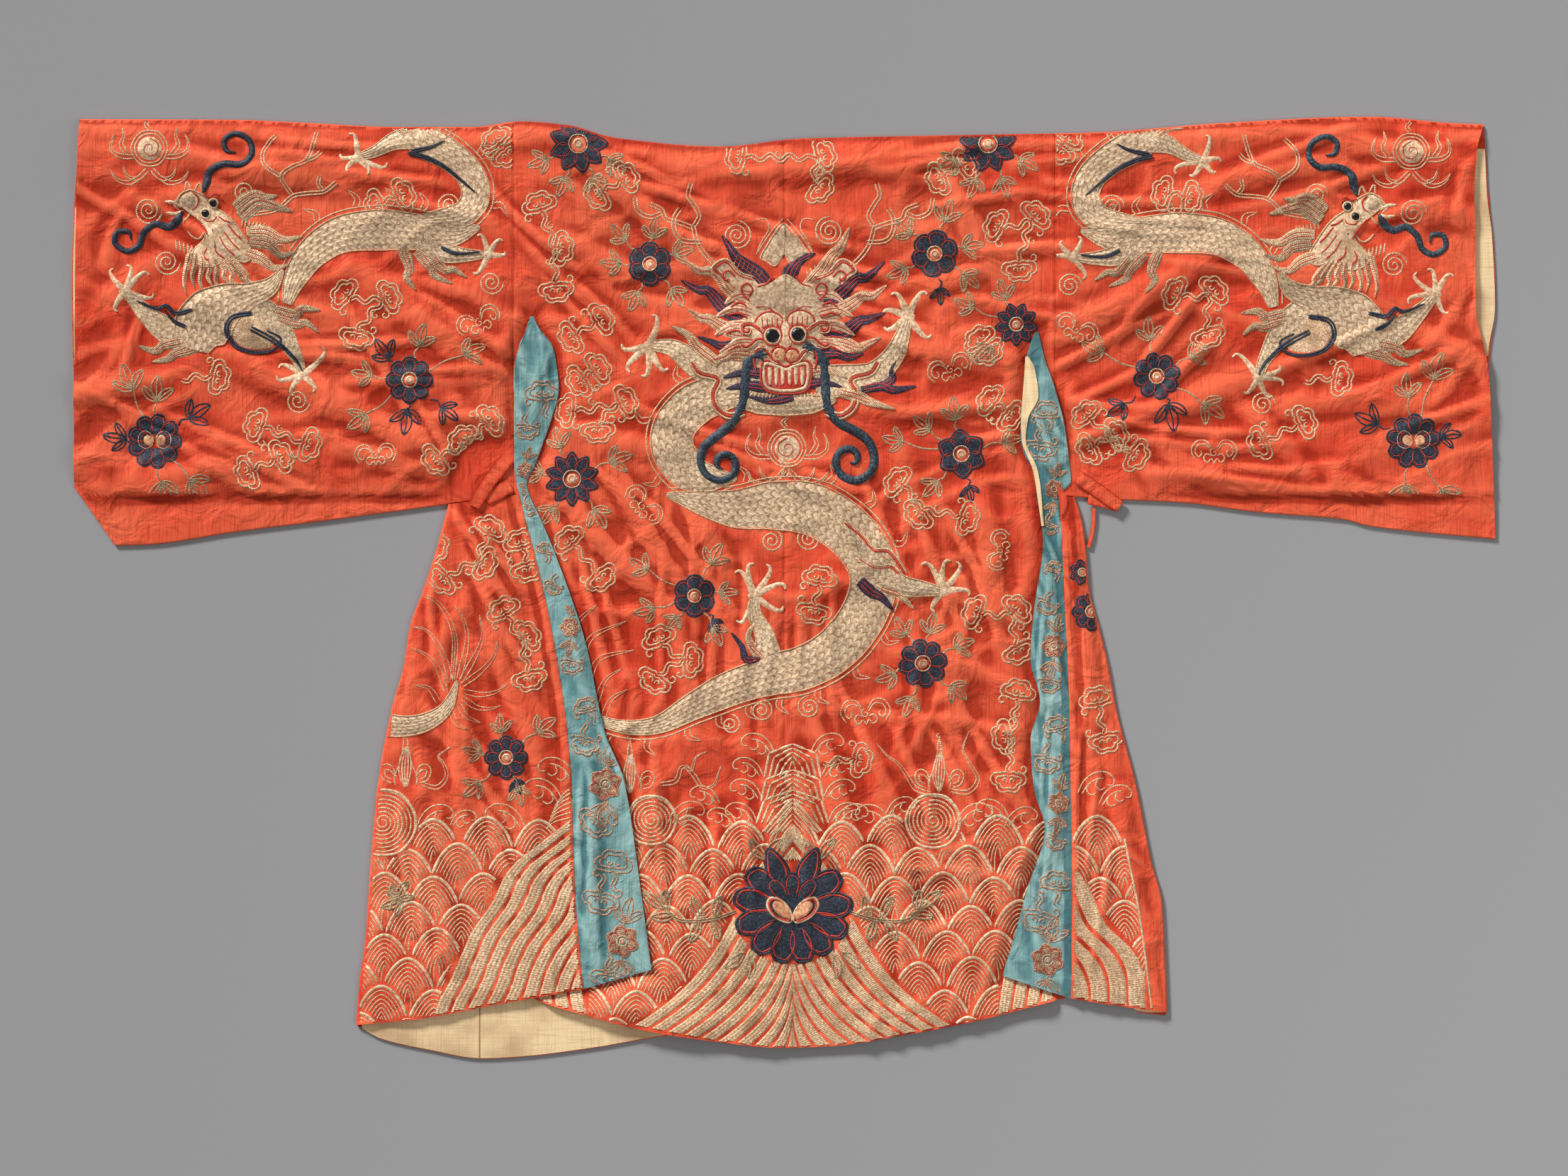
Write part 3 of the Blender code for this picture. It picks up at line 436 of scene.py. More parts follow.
contour_map = np.where(MAP_X < 0, left_contour(MAP_Y), right_contour(MAP_Y))
top_calm = np.where(MAP_Y < ARMPIT, smooth((abs(contour_map) - abs(MAP_X)) / EDGE_FADE), 1.0)
top_clear = smooth(past_tie(MAP_X, MAP_Y) / EDGE_FADE)
over_lining = np.where(MAP_X < 0, smooth((-430 - MAP_Y) / 50) * (LINING_LIFT + 0.2), 0.0)
beside_flap = np.where(MAP_X < 0, left_flap_left(MAP_Y) - MAP_X, MAP_X - right_flap_right(MAP_Y))
turned_edge = 1.5 * smooth((9 - beside_flap) / 3) * (beside_flap > 0)
top_small = 2.8 * sharp(puckers(36, -72, 2.4, 11)) + 1.6 * sharp(puckers(20, -60, 2.6, 13))
top_height = held(rise(TOP_FOLDS) + rise(folds_of(TOP_CREASES)) + top_small + turned_edge)
top_rise = reader((top_height * top_clear + over_lining) * top_calm)
print("the highest fold of the back:", round(float(back_rise(MAP_X, MAP_Y).max()), 1), "mm")

# %% [markdown]
# ## Silk satin, plain linen
# Satin shines because its long warp threads float on the face. Its weft is uneven, and each thicker thread shows as
# a thin line across the cloth. Two stretched noises on Object coordinates give the lines of weft and warp, a wide one
# the uneven dye, and a fourth the crumple that is too small for the mesh. The lining is coarse unbleached linen, with
# tea-coloured stains. Tints are laid over a base colour one by one, and the threads come later. On the satin the last
# tints are painted shade in the hollows of the folds and painted light on their crests.


# %% How a cloth's colours are laid
# Lines to the metre, across and along a thread. Silk is ten times finer, and linen a little: these are as coarse as
# they need to be to show.
SILK_ACROSS, SILK_ALONG = 560.0, 22.0
LINEN_ACROSS, LINEN_ALONG = 620.0, 18.0
# The lining's seam: where it is in X and half its width, in metres.
LINEN_SEAM = (-0.388, 0.0009)


def start_material(name, roughness, **more):
    """A new material, with its tree and its shader. More of the shader's sockets can be given by their names."""
    material = bpy.data.materials.new(name)
    material.use_nodes = True
    tree = material.node_tree
    shader = tree.nodes["Principled BSDF"]
    for socket, value in dict(more, Roughness=roughness).items():
        shader.inputs[socket.replace("_", " ")].default_value = value
    return material, tree, shader


def tinted(tree, colour, *tints):
    """Lays tints over a colour, one on another. Each is a socket to go by, its values where the tint starts and where
    it is full, how strong it then is, and the tint's own colour."""
    for guide, start, full, strength, tint in tints:
        share = add_node(tree, "MapRange", {"Value": guide, "From Min": start, "From Max": full, "To Max": strength})
        laid = add_node(tree, "Mix", {0: share.outputs[0], 6: colour, 7: linear(tint)}, data_type="RGBA")
        colour = laid.outputs[2]
    return colour


def finish_material(tree, shader, colour, height, distance, strength):
    """Links the colour to the shader, and the height as a bump."""
    bump = add_node(tree, "Bump", {"Height": height, "Distance": distance, "Strength": strength})
    tree.links.new(colour, shader.inputs["Base Color"])
    tree.links.new(bump.outputs[0], shader.inputs["Normal"])


print("silk's lines are", round(1000 / SILK_ACROSS, 1), "mm apart, and linen's", round(1000 / LINEN_ACROSS, 1))


# %% Satin and linen
def satin(name, base, light, dark, shine):
    """Woven silk satin: a shine in its own colour, fine lines both ways, crumples with sharp crests, and painted
    shade in the folds' hollows with painted light on their crests.
    """
    material, tree, shader = start_material(
        name, 0.62, Sheen_Weight=0.1, Sheen_Roughness=0.4, Sheen_Tint=linear(shine), Specular_Tint=linear(shine),
        Specular_IOR_Level=0.4,
    )
    spots = add_node(tree, "TexCoord").outputs["Object"]
    across, down = (
        add_node(tree, "Mapping", {"Vector": spots, "Scale": (*scale, 1.0)}).outputs[0]
        for scale in ((SILK_ALONG, SILK_ACROSS), (SILK_ACROSS, SILK_ALONG))
    )
    dye, weft, warp, crumple = (
        add_node(tree, "TexNoise", {"Vector": on, "Scale": scale, "Detail": detail, "Distortion": bend}).outputs[0]
        for on, scale, detail, bend in ((spots, 7, 3, 0.6), (across, 1, 2, 0), (down, 1, 2, 0), (spots, 26, 3, 0.8))
    )
    # painted shade in the hollows of the folds and painted light on their crests, from the mesh's fold attribute
    painted_fold_shading = add_node(tree, "Attribute", attribute_name="painted_fold_shading").outputs["Fac"]
    colour = tinted(
        tree, linear(base), (dye, 0.35, 0.7, 1.0, light), (weft, 0.52, 0.8, 0.4, light),
        (warp, 0.48, 0.72, 0.5, dark), (painted_fold_shading, 0.46, 0.1, 0.75, dark), (painted_fold_shading, 0.54, 0.9, 0.7, light),
    )
    height = add_node(tree, "Math", {0: warp, 1: 0.04, 2: crumple}, operation="MULTIPLY_ADD")
    finish_material(tree, shader, colour, height.outputs[0], 0.009, 0.75)
    return material


def plain_linen():
    """Coarse tabby linen, unbleached: threads each way at about 1 mm, drawn at 1.6 mm, with stains and a seam."""
    material, tree, shader = start_material("unbleached_linen", 0.88, Sheen_Weight=0.1)
    spots = add_node(tree, "TexCoord").outputs["Object"]
    colour = linear("f6d8a8")
    for scale in ((LINEN_ALONG, LINEN_ACROSS, 1.0), (LINEN_ACROSS, LINEN_ALONG, 1.0)):
        stretched = add_node(tree, "Mapping", {"Vector": spots, "Scale": scale})
        threads = add_node(tree, "TexNoise", {"Vector": stretched.outputs[0], "Scale": 1.0, "Detail": 2.0})
        colour = tinted(tree, colour, (threads.outputs[0], 0.48, 0.72, 0.5, "c09e70"))
    stains = add_node(tree, "TexNoise", {"Vector": spots, "Scale": 11.0, "Detail": 5.0})
    place = add_node(tree, "SeparateXYZ", {"Vector": spots})
    seam = add_node(tree, "Math", {0: place.outputs["X"], 1: LINEN_SEAM[0], 2: LINEN_SEAM[1]}, operation="COMPARE")
    stain, stitches = (stains.outputs[0], 0.5, 0.7, 0.75, "b8926a"), (seam.outputs[0], 0.0, 1.0, 1.0, "9a7850")
    colour = tinted(tree, colour, stain, stitches)
    weave = add_node(tree, "TexNoise", {"Vector": spots, "Scale": 700.0, "Detail": 1.0})
    finish_material(tree, shader, colour, weave.outputs[0], 0.0006, 0.5)
    return material


red_satin = satin("vermilion_silk_satin", "db462f", "f06c4a", "981f0e", "ff9c78")
teal_satin = satin("teal_silk_satin", "6b9899", "9abbb7", "2c6069", "c6e3df")
linen = plain_linen()
print("cloth:", red_satin.name, teal_satin.name, linen.name)

# %% [markdown]
# ## The cut pieces
# Each piece starts as a grid, with its corners, rows and columns laid out between the edges of its table, and a
# Solidify modifier gives it the wall of the real cloth. Cells are about 4 mm, small enough for a 20 mm crease.


# %% Laying a grid out as cloth
SAME_PLACE, SMOOTH_UNDER = 0.00001, 50.0
# A crest is compared with points 3 cells away, and its painted light is at its brightest when it stands 1.2 mm over
# them; a hollow gets painted shade the same way.
CREST_REACH, FULL_CREST = 3, 2.4


def fold_shading_share(height):
    """How far each point of a grid stands over those around it: over 0.5 on a crest and under it in a hollow. The
    satin paints its crests lighter, as painted light, and its hollows darker, as painted shade.
    """
    wide = np.pad(height, CREST_REACH, mode="edge")
    rows, columns = height.shape
    steps = (0, CREST_REACH, 2 * CREST_REACH)
    around = [wide[i:i + rows, j:j + columns] for i in steps for j in steps]
    return np.clip(0.5 + (height - sum(around) / len(around)) / FULL_CREST, 0, 1)


def laid_out(name, points, material, thick=CLOTH, closed=False, shade=0.0):
    """A grid whose vertices take their places from points, as rows of (x, y, z) in millimetres, with the wall below
    its face. A closed one is a tube along its rows. Its points carry the painted light and shade of their folds,
    and shade darkens their colour below 0 and lightens it above 0, as painted shade and painted light."""
    points = np.asarray(points, float)
    rows, columns = points.shape[0] - 1, points.shape[1] - 1
    deselect()
    bpy.ops.mesh.primitive_grid_add(x_subdivisions=columns, y_subdivisions=rows, size=1)
    piece = bpy.context.object
    piece.name = piece.data.name = name
    piece.data.vertices.foreach_set("co", (points * MM).ravel())
    # the fold attribute: painted light on the crests and painted shade in the hollows, which the satin reads
    crests = piece.data.attributes.new("painted_fold_shading", "FLOAT", "POINT")
    crests.data.foreach_set("value", np.clip(fold_shading_share(points[:, :, 2]) + shade, 0, 1).ravel())
    piece.data.materials.append(material)
    bpy.ops.object.mode_set(mode="EDIT")
    bpy.ops.mesh.select_all(action="SELECT")
    if closed:
        bpy.ops.mesh.remove_doubles(threshold=SAME_PLACE)
    bpy.ops.mesh.normals_make_consistent(inside=False)
    bpy.ops.object.mode_set(mode="OBJECT")
    middle = piece.data.polygons[len(piece.data.polygons) // 2]
    if not closed and middle.normal.z < 0:
        piece.data.flip_normals()
    bpy.ops.object.modifier_add(type="SOLIDIFY")
    wall = piece.modifiers[-1]
    wall.thickness = thick * MM
    wall.offset = -1
    bpy.ops.object.modifier_apply(modifier=wall.name)
    bpy.ops.object.shade_smooth_by_angle(angle=math.radians(SMOOTH_UNDER))
    return piece


def spread(left, right, bottom, top):
    """Where the fraction u across and v up a panel is, between its four edges."""

    def spot(u, v):
        y = mix(bottom(0 * u), top(0 * u), v)
        x = mix(left(y), right(y), u)
        for _ in range(5):
            y = mix(bottom(x), top(x), v)
            x = mix(left(y), right(y), u)
        return x, y

    return spot


def declare(piece, node):
    """Puts the piece under the root and hides the solid that it stands for."""
    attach(piece, "root")
    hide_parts(node)
    print(piece.name, len(piece.data.polygons), "faces")


def fractions(count, *finer):
    """Even steps from 0 to 1, with a few finer ones added."""
    return np.unique(np.round([*finer, *np.linspace(0, 1, count + 1)], 7))


def seam_dip(distance, depth=0.7, reach=2.6):
    """A seam pulls the cloth down beside it."""
    return depth * np.exp(-((distance / reach) ** 2))


print("walls:", CLOTH, "mm of lined satin,", LINING, "mm of lining")


# %% The back
def back_side(y):
    return SHOULDER_SEAM + BACK_FLARE * smooth((ARMPIT - y) / (ARMPIT - FRONT_FOOT))


ROLL = 1.1


def rolled(distance):
    """How far the face drops beside an edge that is folded over."""
    near = np.clip(1 - distance / ROLL, 0, 1)
    return ROLL * (1 - np.sqrt(1 - near ** 2))


for side, word in ((-1, "left"), (1, "right")):
    spot = spread(lambda y: side * GAP / 2 + 0 * y, lambda y: side * (back_side(y) - GAP / 2), back_hem, shoulder)
    # finer beside the seams and at the rolled edge
    us = fractions(96, 0.004, 0.009, 0.991, 0.996)
    vs = fractions(286, 0.999, 0.9997)
    u, v = np.meshgrid(us, vs)
    x, y = spot(u, v)
    z = BACK_Z + CLOTH + back_rise(x, y) - rolled(shoulder(x) - y)
    z = z - seam_dip(abs(x)) - seam_dip(abs(abs(x) - SHOULDER_SEAM)) * (y > ARMPIT)
    back = laid_out(f"back_panel_{word}", np.stack([x, y, np.maximum(z, BACK_Z + CLOTH - ROLL)], -1), red_satin)
    declare(back, f"back_{word}")


# %% The fronts, under the back
def side_seam(y):
    return mix(SIDE_SEAM_HEM, SHOULDER_SEAM, (y - FRONT_FOOT) / (ARMPIT - FRONT_FOOT))


def neckline(x):
    reach = np.minimum(abs(x) / NECK_HALF_WIDTH, 1.0)
    return shoulder(x) - NECK_DEPTH * np.sqrt(1 - reach ** 2)


for side, word in ((-1, "left"), (1, "right")):
    neck_us = NECK_HALF_WIDTH / SHOULDER_SEAM * np.sin(np.linspace(0, math.pi / 2, 13))
    us = np.concatenate([neck_us, np.linspace(neck_us[-1], 1, 17)[1:]])
    armpit_share = (ARMPIT - front_hem(side * SHOULDER_SEAM)) / (
        shoulder(side * SHOULDER_SEAM) - front_hem(side * SHOULDER_SEAM)
    )
    vs = np.concatenate([np.linspace(0, armpit_share, 43), np.linspace(armpit_share, 1, 25)[1:]])
    spot = spread(
        lambda y: side * GAP / 2 + 0 * y,
        lambda y: side * (np.where(y > ARMPIT + 0.01, SHOULDER_SEAM, side_seam(y)) - GAP / 2),
        front_hem, neckline,
    )
    x, y = spot(*np.meshgrid(us, vs))
    front = laid_out(f"front_panel_{word}", np.stack([x, y, 0 * x + CLOTH], -1), red_satin)
    declare(front, f"front_{word}")

# %% [markdown]
# ## Sleeves
# A sleeve is one piece, folded along the shoulder and seamed below. Laid down it is a tube pressed flat, so its
# grid runs once round: the upper side, the turn at the seam, the lower side and the fold at the shoulder.

# %% The sleeves
HALF_TUBE = CLOTH + GAP / 2
TURN = np.radians([30, 60, 90, 120, 150])


def sleeve(word, hem, cuff, side):
    corner_share = (LEFT_CORNER + SHOULDER_SEAM) / (LEFT_CUFF[-1].upper + SHOULDER_SEAM)
    stations = np.concatenate([np.linspace(0, corner_share, 136), np.linspace(corner_share, 1, 11)[1:]])
    stations = np.unique(np.concatenate([stations, [0.003, 0.007]]))
    cuff_upper, cuff_lower = curve(cuff, "y", "upper"), curve(cuff, "y", "lower")
    seam_x = side * (SHOULDER_SEAM + GAP / 2)

    def place(v, reach_out):
        x = np.full(stations.shape, seam_x)
        y = np.full(stations.shape, 350.0)
        for _ in range(5):
            x = mix(seam_x, reach_out(y), stations)
            y = mix(hem(x) + HALF_TUBE, shoulder(x) - HALF_TUBE, v)
        return x, y

    def middle(y):
        return (cuff_upper(y) + cuff_lower(y)) / 2

    lines = []
    for v in np.linspace(1, 0, 129):
        x, y = place(v, cuff_upper)
        lines.append((x, y, 2 * HALF_TUBE + back_rise(x, y) - seam_dip(abs(abs(x) - SHOULDER_SEAM))))
    for angle in TURN:
        x, y = place(0, middle)
        lines.append((x, y - HALF_TUBE * math.sin(angle), HALF_TUBE * (1 + math.cos(angle)) + 0 * x))
    for v in np.linspace(0, 1, 15):
        x, y = place(v, cuff_lower)
        lines.append((x, y, 0 * x))
    for angle in TURN[::-1]:
        x, y = place(1, middle)
        lines.append((x, y + HALF_TUBE * math.sin(angle), HALF_TUBE * (1 + math.cos(angle)) + 0 * x))
    lines.append(lines[0])
    piece = laid_out(f"sleeve_cloth_{word}", np.stack([np.stack(line, -1) for line in lines]), red_satin, closed=True)
    declare(piece, f"sleeve_{word}")


sleeve("left", left_sleeve_hem, LEFT_CUFF, -1)
sleeve("right", right_sleeve_hem, RIGHT_CUFF, 1)

# %% [markdown]
# ## Side panels, flaps, linings and ties
# The sides of the fronts are wide: they come round the open vents and lie on the back, and a teal flap is sewn to
# the edge of each. They turn over at the robe's outline, so their grid has a half round there.


# %% The side panels
def side_panel(word, side, contour, seam, sleeve_hem, upper_hem):
    half = (TOP_Z + CLOTH) / 2
    v = np.linspace(0, 1, 176)
    lines = []
    for u in np.linspace(0, 1, 7):
        x = np.full(v.shape, side * SIDE_SEAM_HEM)
        for _ in range(5):
            y = mix(front_hem(x), sleeve_hem(x) - GAP, v)
            x = mix(side * (side_seam(y) + GAP / 2), contour(y) - side * half, u)
        lines.append((x, y, 0 * x))
    for angle in TURN:
        y = mix(upper_hem(contour(FRONT_FOOT)), sleeve_hem(contour(ARMPIT)) - GAP, v)
        x = contour(y) - side * half
        lines.append((x + side * half * math.sin(angle), y, half - half * math.cos(angle) + 0 * x))
    for u in np.linspace(0, 1, 60):
        x = np.full(v.shape, side * SIDE_SEAM_HEM)
        for _ in range(5):
            y = mix(upper_hem(x), sleeve_hem(x) - GAP, v)
            x = mix(contour(y) - side * half, seam(y) + side * GAP / 2, u)
        lines.append((x, y, 2 * half + top_rise(x, y) - seam_dip(abs(x - seam(y)), 0.5)))
    points = np.stack([np.stack(line, -1) for line in lines])
    from_flap = abs(points[:, :, 0] - seam(points[:, :, 1]))
    # painted light on the turned edge beside the flap, and painted shade in the fold about 15 mm from it, upper layer
    # only
    shade = 0.3 * smooth((9 - from_flap) / 2) - 0.6 * smooth(1 - abs(from_flap - 15) / 7)
    piece = laid_out(f"side_panel_{word}", points, red_satin, shade=shade * (points[:, :, 2] > half))
    declare(piece, f"side_{word}")


side_panel("left", -1, left_contour, left_flap_left, left_sleeve_hem, left_side_hem)
side_panel("right", 1, right_contour, right_flap_right, right_sleeve_hem, right_side_hem)


# %% The teal flaps, and the edge that is turned back
def flap(word, rows, left, right, hem):
    top = rows[0].y
    spot = spread(lambda y: left(y) + GAP / 2, lambda y: right(y) - GAP / 2, hem, lambda x: top + 0 * x)
    x, y = spot(*np.meshgrid(np.linspace(0, 1, 31), np.linspace(0, 1, 201)))
    z = TOP_Z + CLOTH + top_rise(x, y)
    from_left, from_right = x - left(y), right(y) - x
    if word == "left":
        # a little lighter all over, painted shade along a fold 30 mm in from the left edge low down, and darker above
        # y 90
        shade = 0.05 - 0.5 * smooth(1 - abs(from_left - 30) / 8) * smooth((-170 - y) / 40)
        shade = shade - 0.15 * smooth((y - 90) / 40)
    else:
        # a little darker all over; painted shadow along the left edge where the flap folds in by the turned-back
        # lining; a dark strip along the right edge, partly the less faded satin of its turned edge and partly painted
        # shade of the fold
        shade = -0.1 - 0.7 * smooth((11 - from_right) / 3) * smooth((60 - y) / 60)
        shade = shade - 0.7 * smooth((20 - from_left) / 5) * smooth((y - 30) / 40)
    z = z - seam_dip(np.minimum(from_left, from_right), 0.5, 2.0)
    piece = laid_out(f"flap_cloth_{word}", np.stack([x, y, z], -1), teal_satin, shade=shade)
    declare(piece, f"flap_{word}")


flap("left", LEFT_FLAP, left_flap_left, left_flap_right, left_flap_hem)
flap("right", RIGHT_FLAP, right_flap_left, right_flap_right, right_flap_hem)

turn_left, turn_right = curve(TURNBACK, "y", "left"), curve(TURNBACK, "y", "right")
spot = spread(turn_left, turn_right, lambda x: TURNBACK[-1].y + 0 * x, lambda x: TURNBACK[0].y + 0 * x)
x, y = spot(*np.meshgrid(np.linspace(0, 1, 7), np.linspace(0, 1, 61)))
turnback = laid_out("flap_lining_turned_back", np.stack([x, y, TIE_Z + LINING + top_rise(x, y)], -1), linen, LINING)
declare(turnback, "flap_turnback_right")


# %% The lining where it shows
def lining(name, node, left, right, bottom, top, columns, rows):
    spot = spread(left, right, bottom, top)
    x, y = spot(*np.meshgrid(np.linspace(0, 1, columns + 1), np.linspace(0, 1, rows + 1)))
    piece = laid_out(name, np.stack([x, y, 0 * x + BACK_Z + LINING], -1), linen, LINING)
    declare(piece, node)


def hem_lining_top(x):
    upper = np.where(x < -300, left_side_hem(x), back_hem(x))
    return np.maximum(front_hem(x) + 10, np.minimum(upper, np.where(x > -330, back_hem(x), 0)) + 12)


def constant(value):
    return lambda where: value + 0 * where


lining("hem_lining_left", "lining_hem_left", constant(-538.0), constant(-152.0), lambda x: front_hem(x) + 1.0,
       hem_lining_top, 90, 10)
lining("hem_lining_right", "lining_hem_right", constant(436.0), constant(484.0),
       lambda x: np.maximum(front_hem(x), -543) + 2, constant(-515.0), 16, 6)
CUFF_LINING_DEPTH, CUFF_INSET = 45.0, 1.5
for word, side, cuff, bottom, top in (("left", -1, LEFT_CUFF, 285.0, 485.0), ("right", 1, RIGHT_CUFF, 296.0, 560.0)):
    edge = curve(cuff, "y", "lower")
    lining(f"cuff_lining_{word}", f"lining_cuff_{word}", lambda y: edge(y) - side * CUFF_LINING_DEPTH,
           lambda y: edge(y) - side * CUFF_INSET, constant(bottom), constant(top),
           10, 50)

# %% The turned corner
TIP, WIDE, FOOT = np.array((347.5, 131.0)), np.array((369.0, 117.0)), np.array((353.0, 92.0))
corner_rows = []
for t in np.linspace(0, 1, 13):
    inner = mix(TIP, FOOT, t) + (1.5 * t * (1 - t), 0)
    outer = mix(mix(TIP + (1.5, -1.5), WIDE, t), mix(WIDE, FOOT + (3, 1.5), t), t)
    shares = np.linspace(0, 1, 7)
    corner_rows.append([(*mix(inner, outer, s), TIE_Z + CLOTH + 0.6 * math.sin(math.pi * s)) for s in shares])
corner = laid_out("side_corner_turned_over", corner_rows, red_satin)
declare(corner, "side_corner_right")

# %% The ties at the armpits
LOW = TOP_Z + CLOTH / 2
MIDDLE = LOW + CLOTH + GAP
HIGH = MIDDLE + CLOTH + GAP
FOLD_RADIUS = (MIDDLE - LOW) / 2
FOLD_X, FOLD_Y, FOLD_HEADING = 427.0, 104.5, -35.0
TIE_TURN = [
    (
        FOLD_X + FOLD_RADIUS * math.sin(math.radians(pitch)) * math.cos(math.radians(FOLD_HEADING)),
        FOLD_Y + FOLD_RADIUS * math.sin(math.radians(pitch)) * math.sin(math.radians(FOLD_HEADING)),
        LOW + FOLD_RADIUS * (1 + math.cos(math.radians(pitch))), FOLD_HEADING, pitch, 0.9 * TIE_WIDTH,
    )
    for pitch in (0, 60, 120, 180)
]
STRAP_Z = BACK_Z + CLOTH / 2
# each bend: x, y, z, heading, pitch, width
TIES = {
    "tie_left_long": (
        (-352, 166, LOW, -128, 0, TIE_WIDTH), (-362, 153, MIDDLE - 0.5, -128, 0, TIE_WIDTH),
        (-371, 142, HIGH - 0.6, -128, 0, TIE_WIDTH), (-380, 130, HIGH, -126, 0, TIE_WIDTH),
        (-388, 117, HIGH, -120, 0, TIE_WIDTH), (-395, 104, HIGH, -118, 0, 0.9 * TIE_WIDTH),
    ),
    "tie_left_short": (
        (-349, 131, MIDDLE, -150, 0, TIE_WIDTH), (-364, 122, MIDDLE, -152, 0, TIE_WIDTH),
        (-379, 113, MIDDLE, -155, 0, 0.8 * TIE_WIDTH),
    ),
    "tie_right": (
        (375, 141, MIDDLE, -30, 0, TIE_WIDTH), (392, 130, MIDDLE, -33, 0, TIE_WIDTH),
        (410, 117, MIDDLE, FOLD_HEADING, 0, TIE_WIDTH), *TIE_TURN,
        (415, 109.5, LOW, -24, 180, TIE_WIDTH), (402, 113, LOW, -14, 180, TIE_WIDTH),
        (388, 115.5, LOW, -8, 180, TIE_WIDTH),
    ),
    "strap_right": (
        (395, 103, STRAP_Z, -92, 0, STRAP_WIDTH), (394.6, 84, STRAP_Z, -94, 0, STRAP_WIDTH),
        (392, 66, STRAP_Z, -99, 0, STRAP_WIDTH), (388.0, 52, STRAP_Z, -104, 0, STRAP_WIDTH),
    ),
}
BAND_STEPS = 6


def band(node, bends):
    """A tie: a flat folded band, its middle line through the bends, with a little crown. Its colour has painted light
    down the middle, painted shade at both edges, and bands of painted shade across it now and then.
    """
    keys = np.arange(len(bends), dtype=float)
    fine = np.linspace(0, len(bends) - 1, (len(bends) - 1) * BAND_STEPS + 1)
    x, y, z, heading, pitch, width = (np.interp(fine, keys, column) for column in np.array(bends, float).T)
    heading, pitch = np.radians(heading), np.radians(pitch)
    across = np.stack([-np.sin(heading), np.cos(heading), 0 * x], -1)
    up = np.stack([np.cos(heading) * np.sin(pitch), np.sin(heading) * np.sin(pitch), np.cos(pitch)], -1)
    lines = []
    for s in np.linspace(-1, 1, 9):
        crown = CLOTH / 2 + 0.25 * (1 - s * s) * np.sin(fine * 2.1) ** 2
        lines.append(np.stack([x, y, z], -1) + across * (s * width / 2)[:, None] + up * crown[:, None])
    # painted light down the middle of the band, painted shade at its edges and in bands across it
    edges = 0.3 - 0.75 * np.abs(np.linspace(-1, 1, 9))[:, None] ** 3 - 0.25 * np.sin(fine * 4.2) ** 8
    piece = laid_out(node + "_band", np.stack(lines), red_satin, shade=edges)
    declare(piece, node)


for node, bends in TIES.items():
    band(node, bends)

# %% [markdown]
# ## Threads
# The gold is paper-backed gilt wound on a silk core and laid on the cloth in pairs, held by tiny stitches: couching.
# It is too thick to pass through satin. Each laid thread is a low rounded ridge here, because its edge catches light,
# and its twist is a bump that runs along its own UV map, in which U is the way along it in centimetres. The dark
# parts are floss silk and knots. On every thread, fine specks in the bump are painted lighter where they stand high,
# as painted glints, and darker where they sink, as painted shade.


# %% Thread materials
def thread_material(name, base, light, dark, metallic, roughness, speck=420.0, twist=True):
    """Laid thread: specks painted lighter where the bump is high, as painted glints, and darker where it is low, as
    painted shade; worn patches; and the twist of its strands.
    """
    material, tree, shader = start_material(name, roughness, Metallic=metallic)
    spots = add_node(tree, "TexCoord").outputs["Object"]
    specks = add_node(tree, "TexNoise", {"Vector": spots, "Scale": speck, "Detail": 2.0, "Roughness": 0.7}).outputs[0]
    worn = add_node(tree, "TexNoise", {"Vector": spots, "Scale": 26.0, "Detail": 4.0}).outputs[0]
    # painted glints on the high specks and painted shade on the low ones; the worn patches are real wear
    colour = tinted(
        tree, linear(base), (specks, 0.48, 0.68, 1.0, light), (specks, 0.5, 0.3, 1.0, dark),
        (worn, 0.48, 0.72, 0.6, dark),
    )
    height = specks
    if twist:
        uv = add_node(tree, "SeparateXYZ", {"Vector": add_node(tree, "UVMap", uv_map="thread").outputs[0]})
        slant = add_node(tree, "Math", {0: uv.outputs["X"], 1: 26.0, 2: uv.outputs["Y"]}, operation="MULTIPLY_ADD")
        across = add_node(tree, "Math", {0: uv.outputs["Y"], 1: math.pi}, operation="MULTIPLY")
        for way, turning, share in ((slant, "SINE", 0.3), (across, "COSINE", 0.35)):
            wave = add_node(tree, "Math", {0: way.outputs[0]}, operation=turning).outputs[0]
            height = add_node(tree, "Math", {0: wave, 1: share, 2: height}, operation="MULTIPLY_ADD").outputs[0]
    finish_material(tree, shader, colour, height, 0.0009, 0.7)
    return material


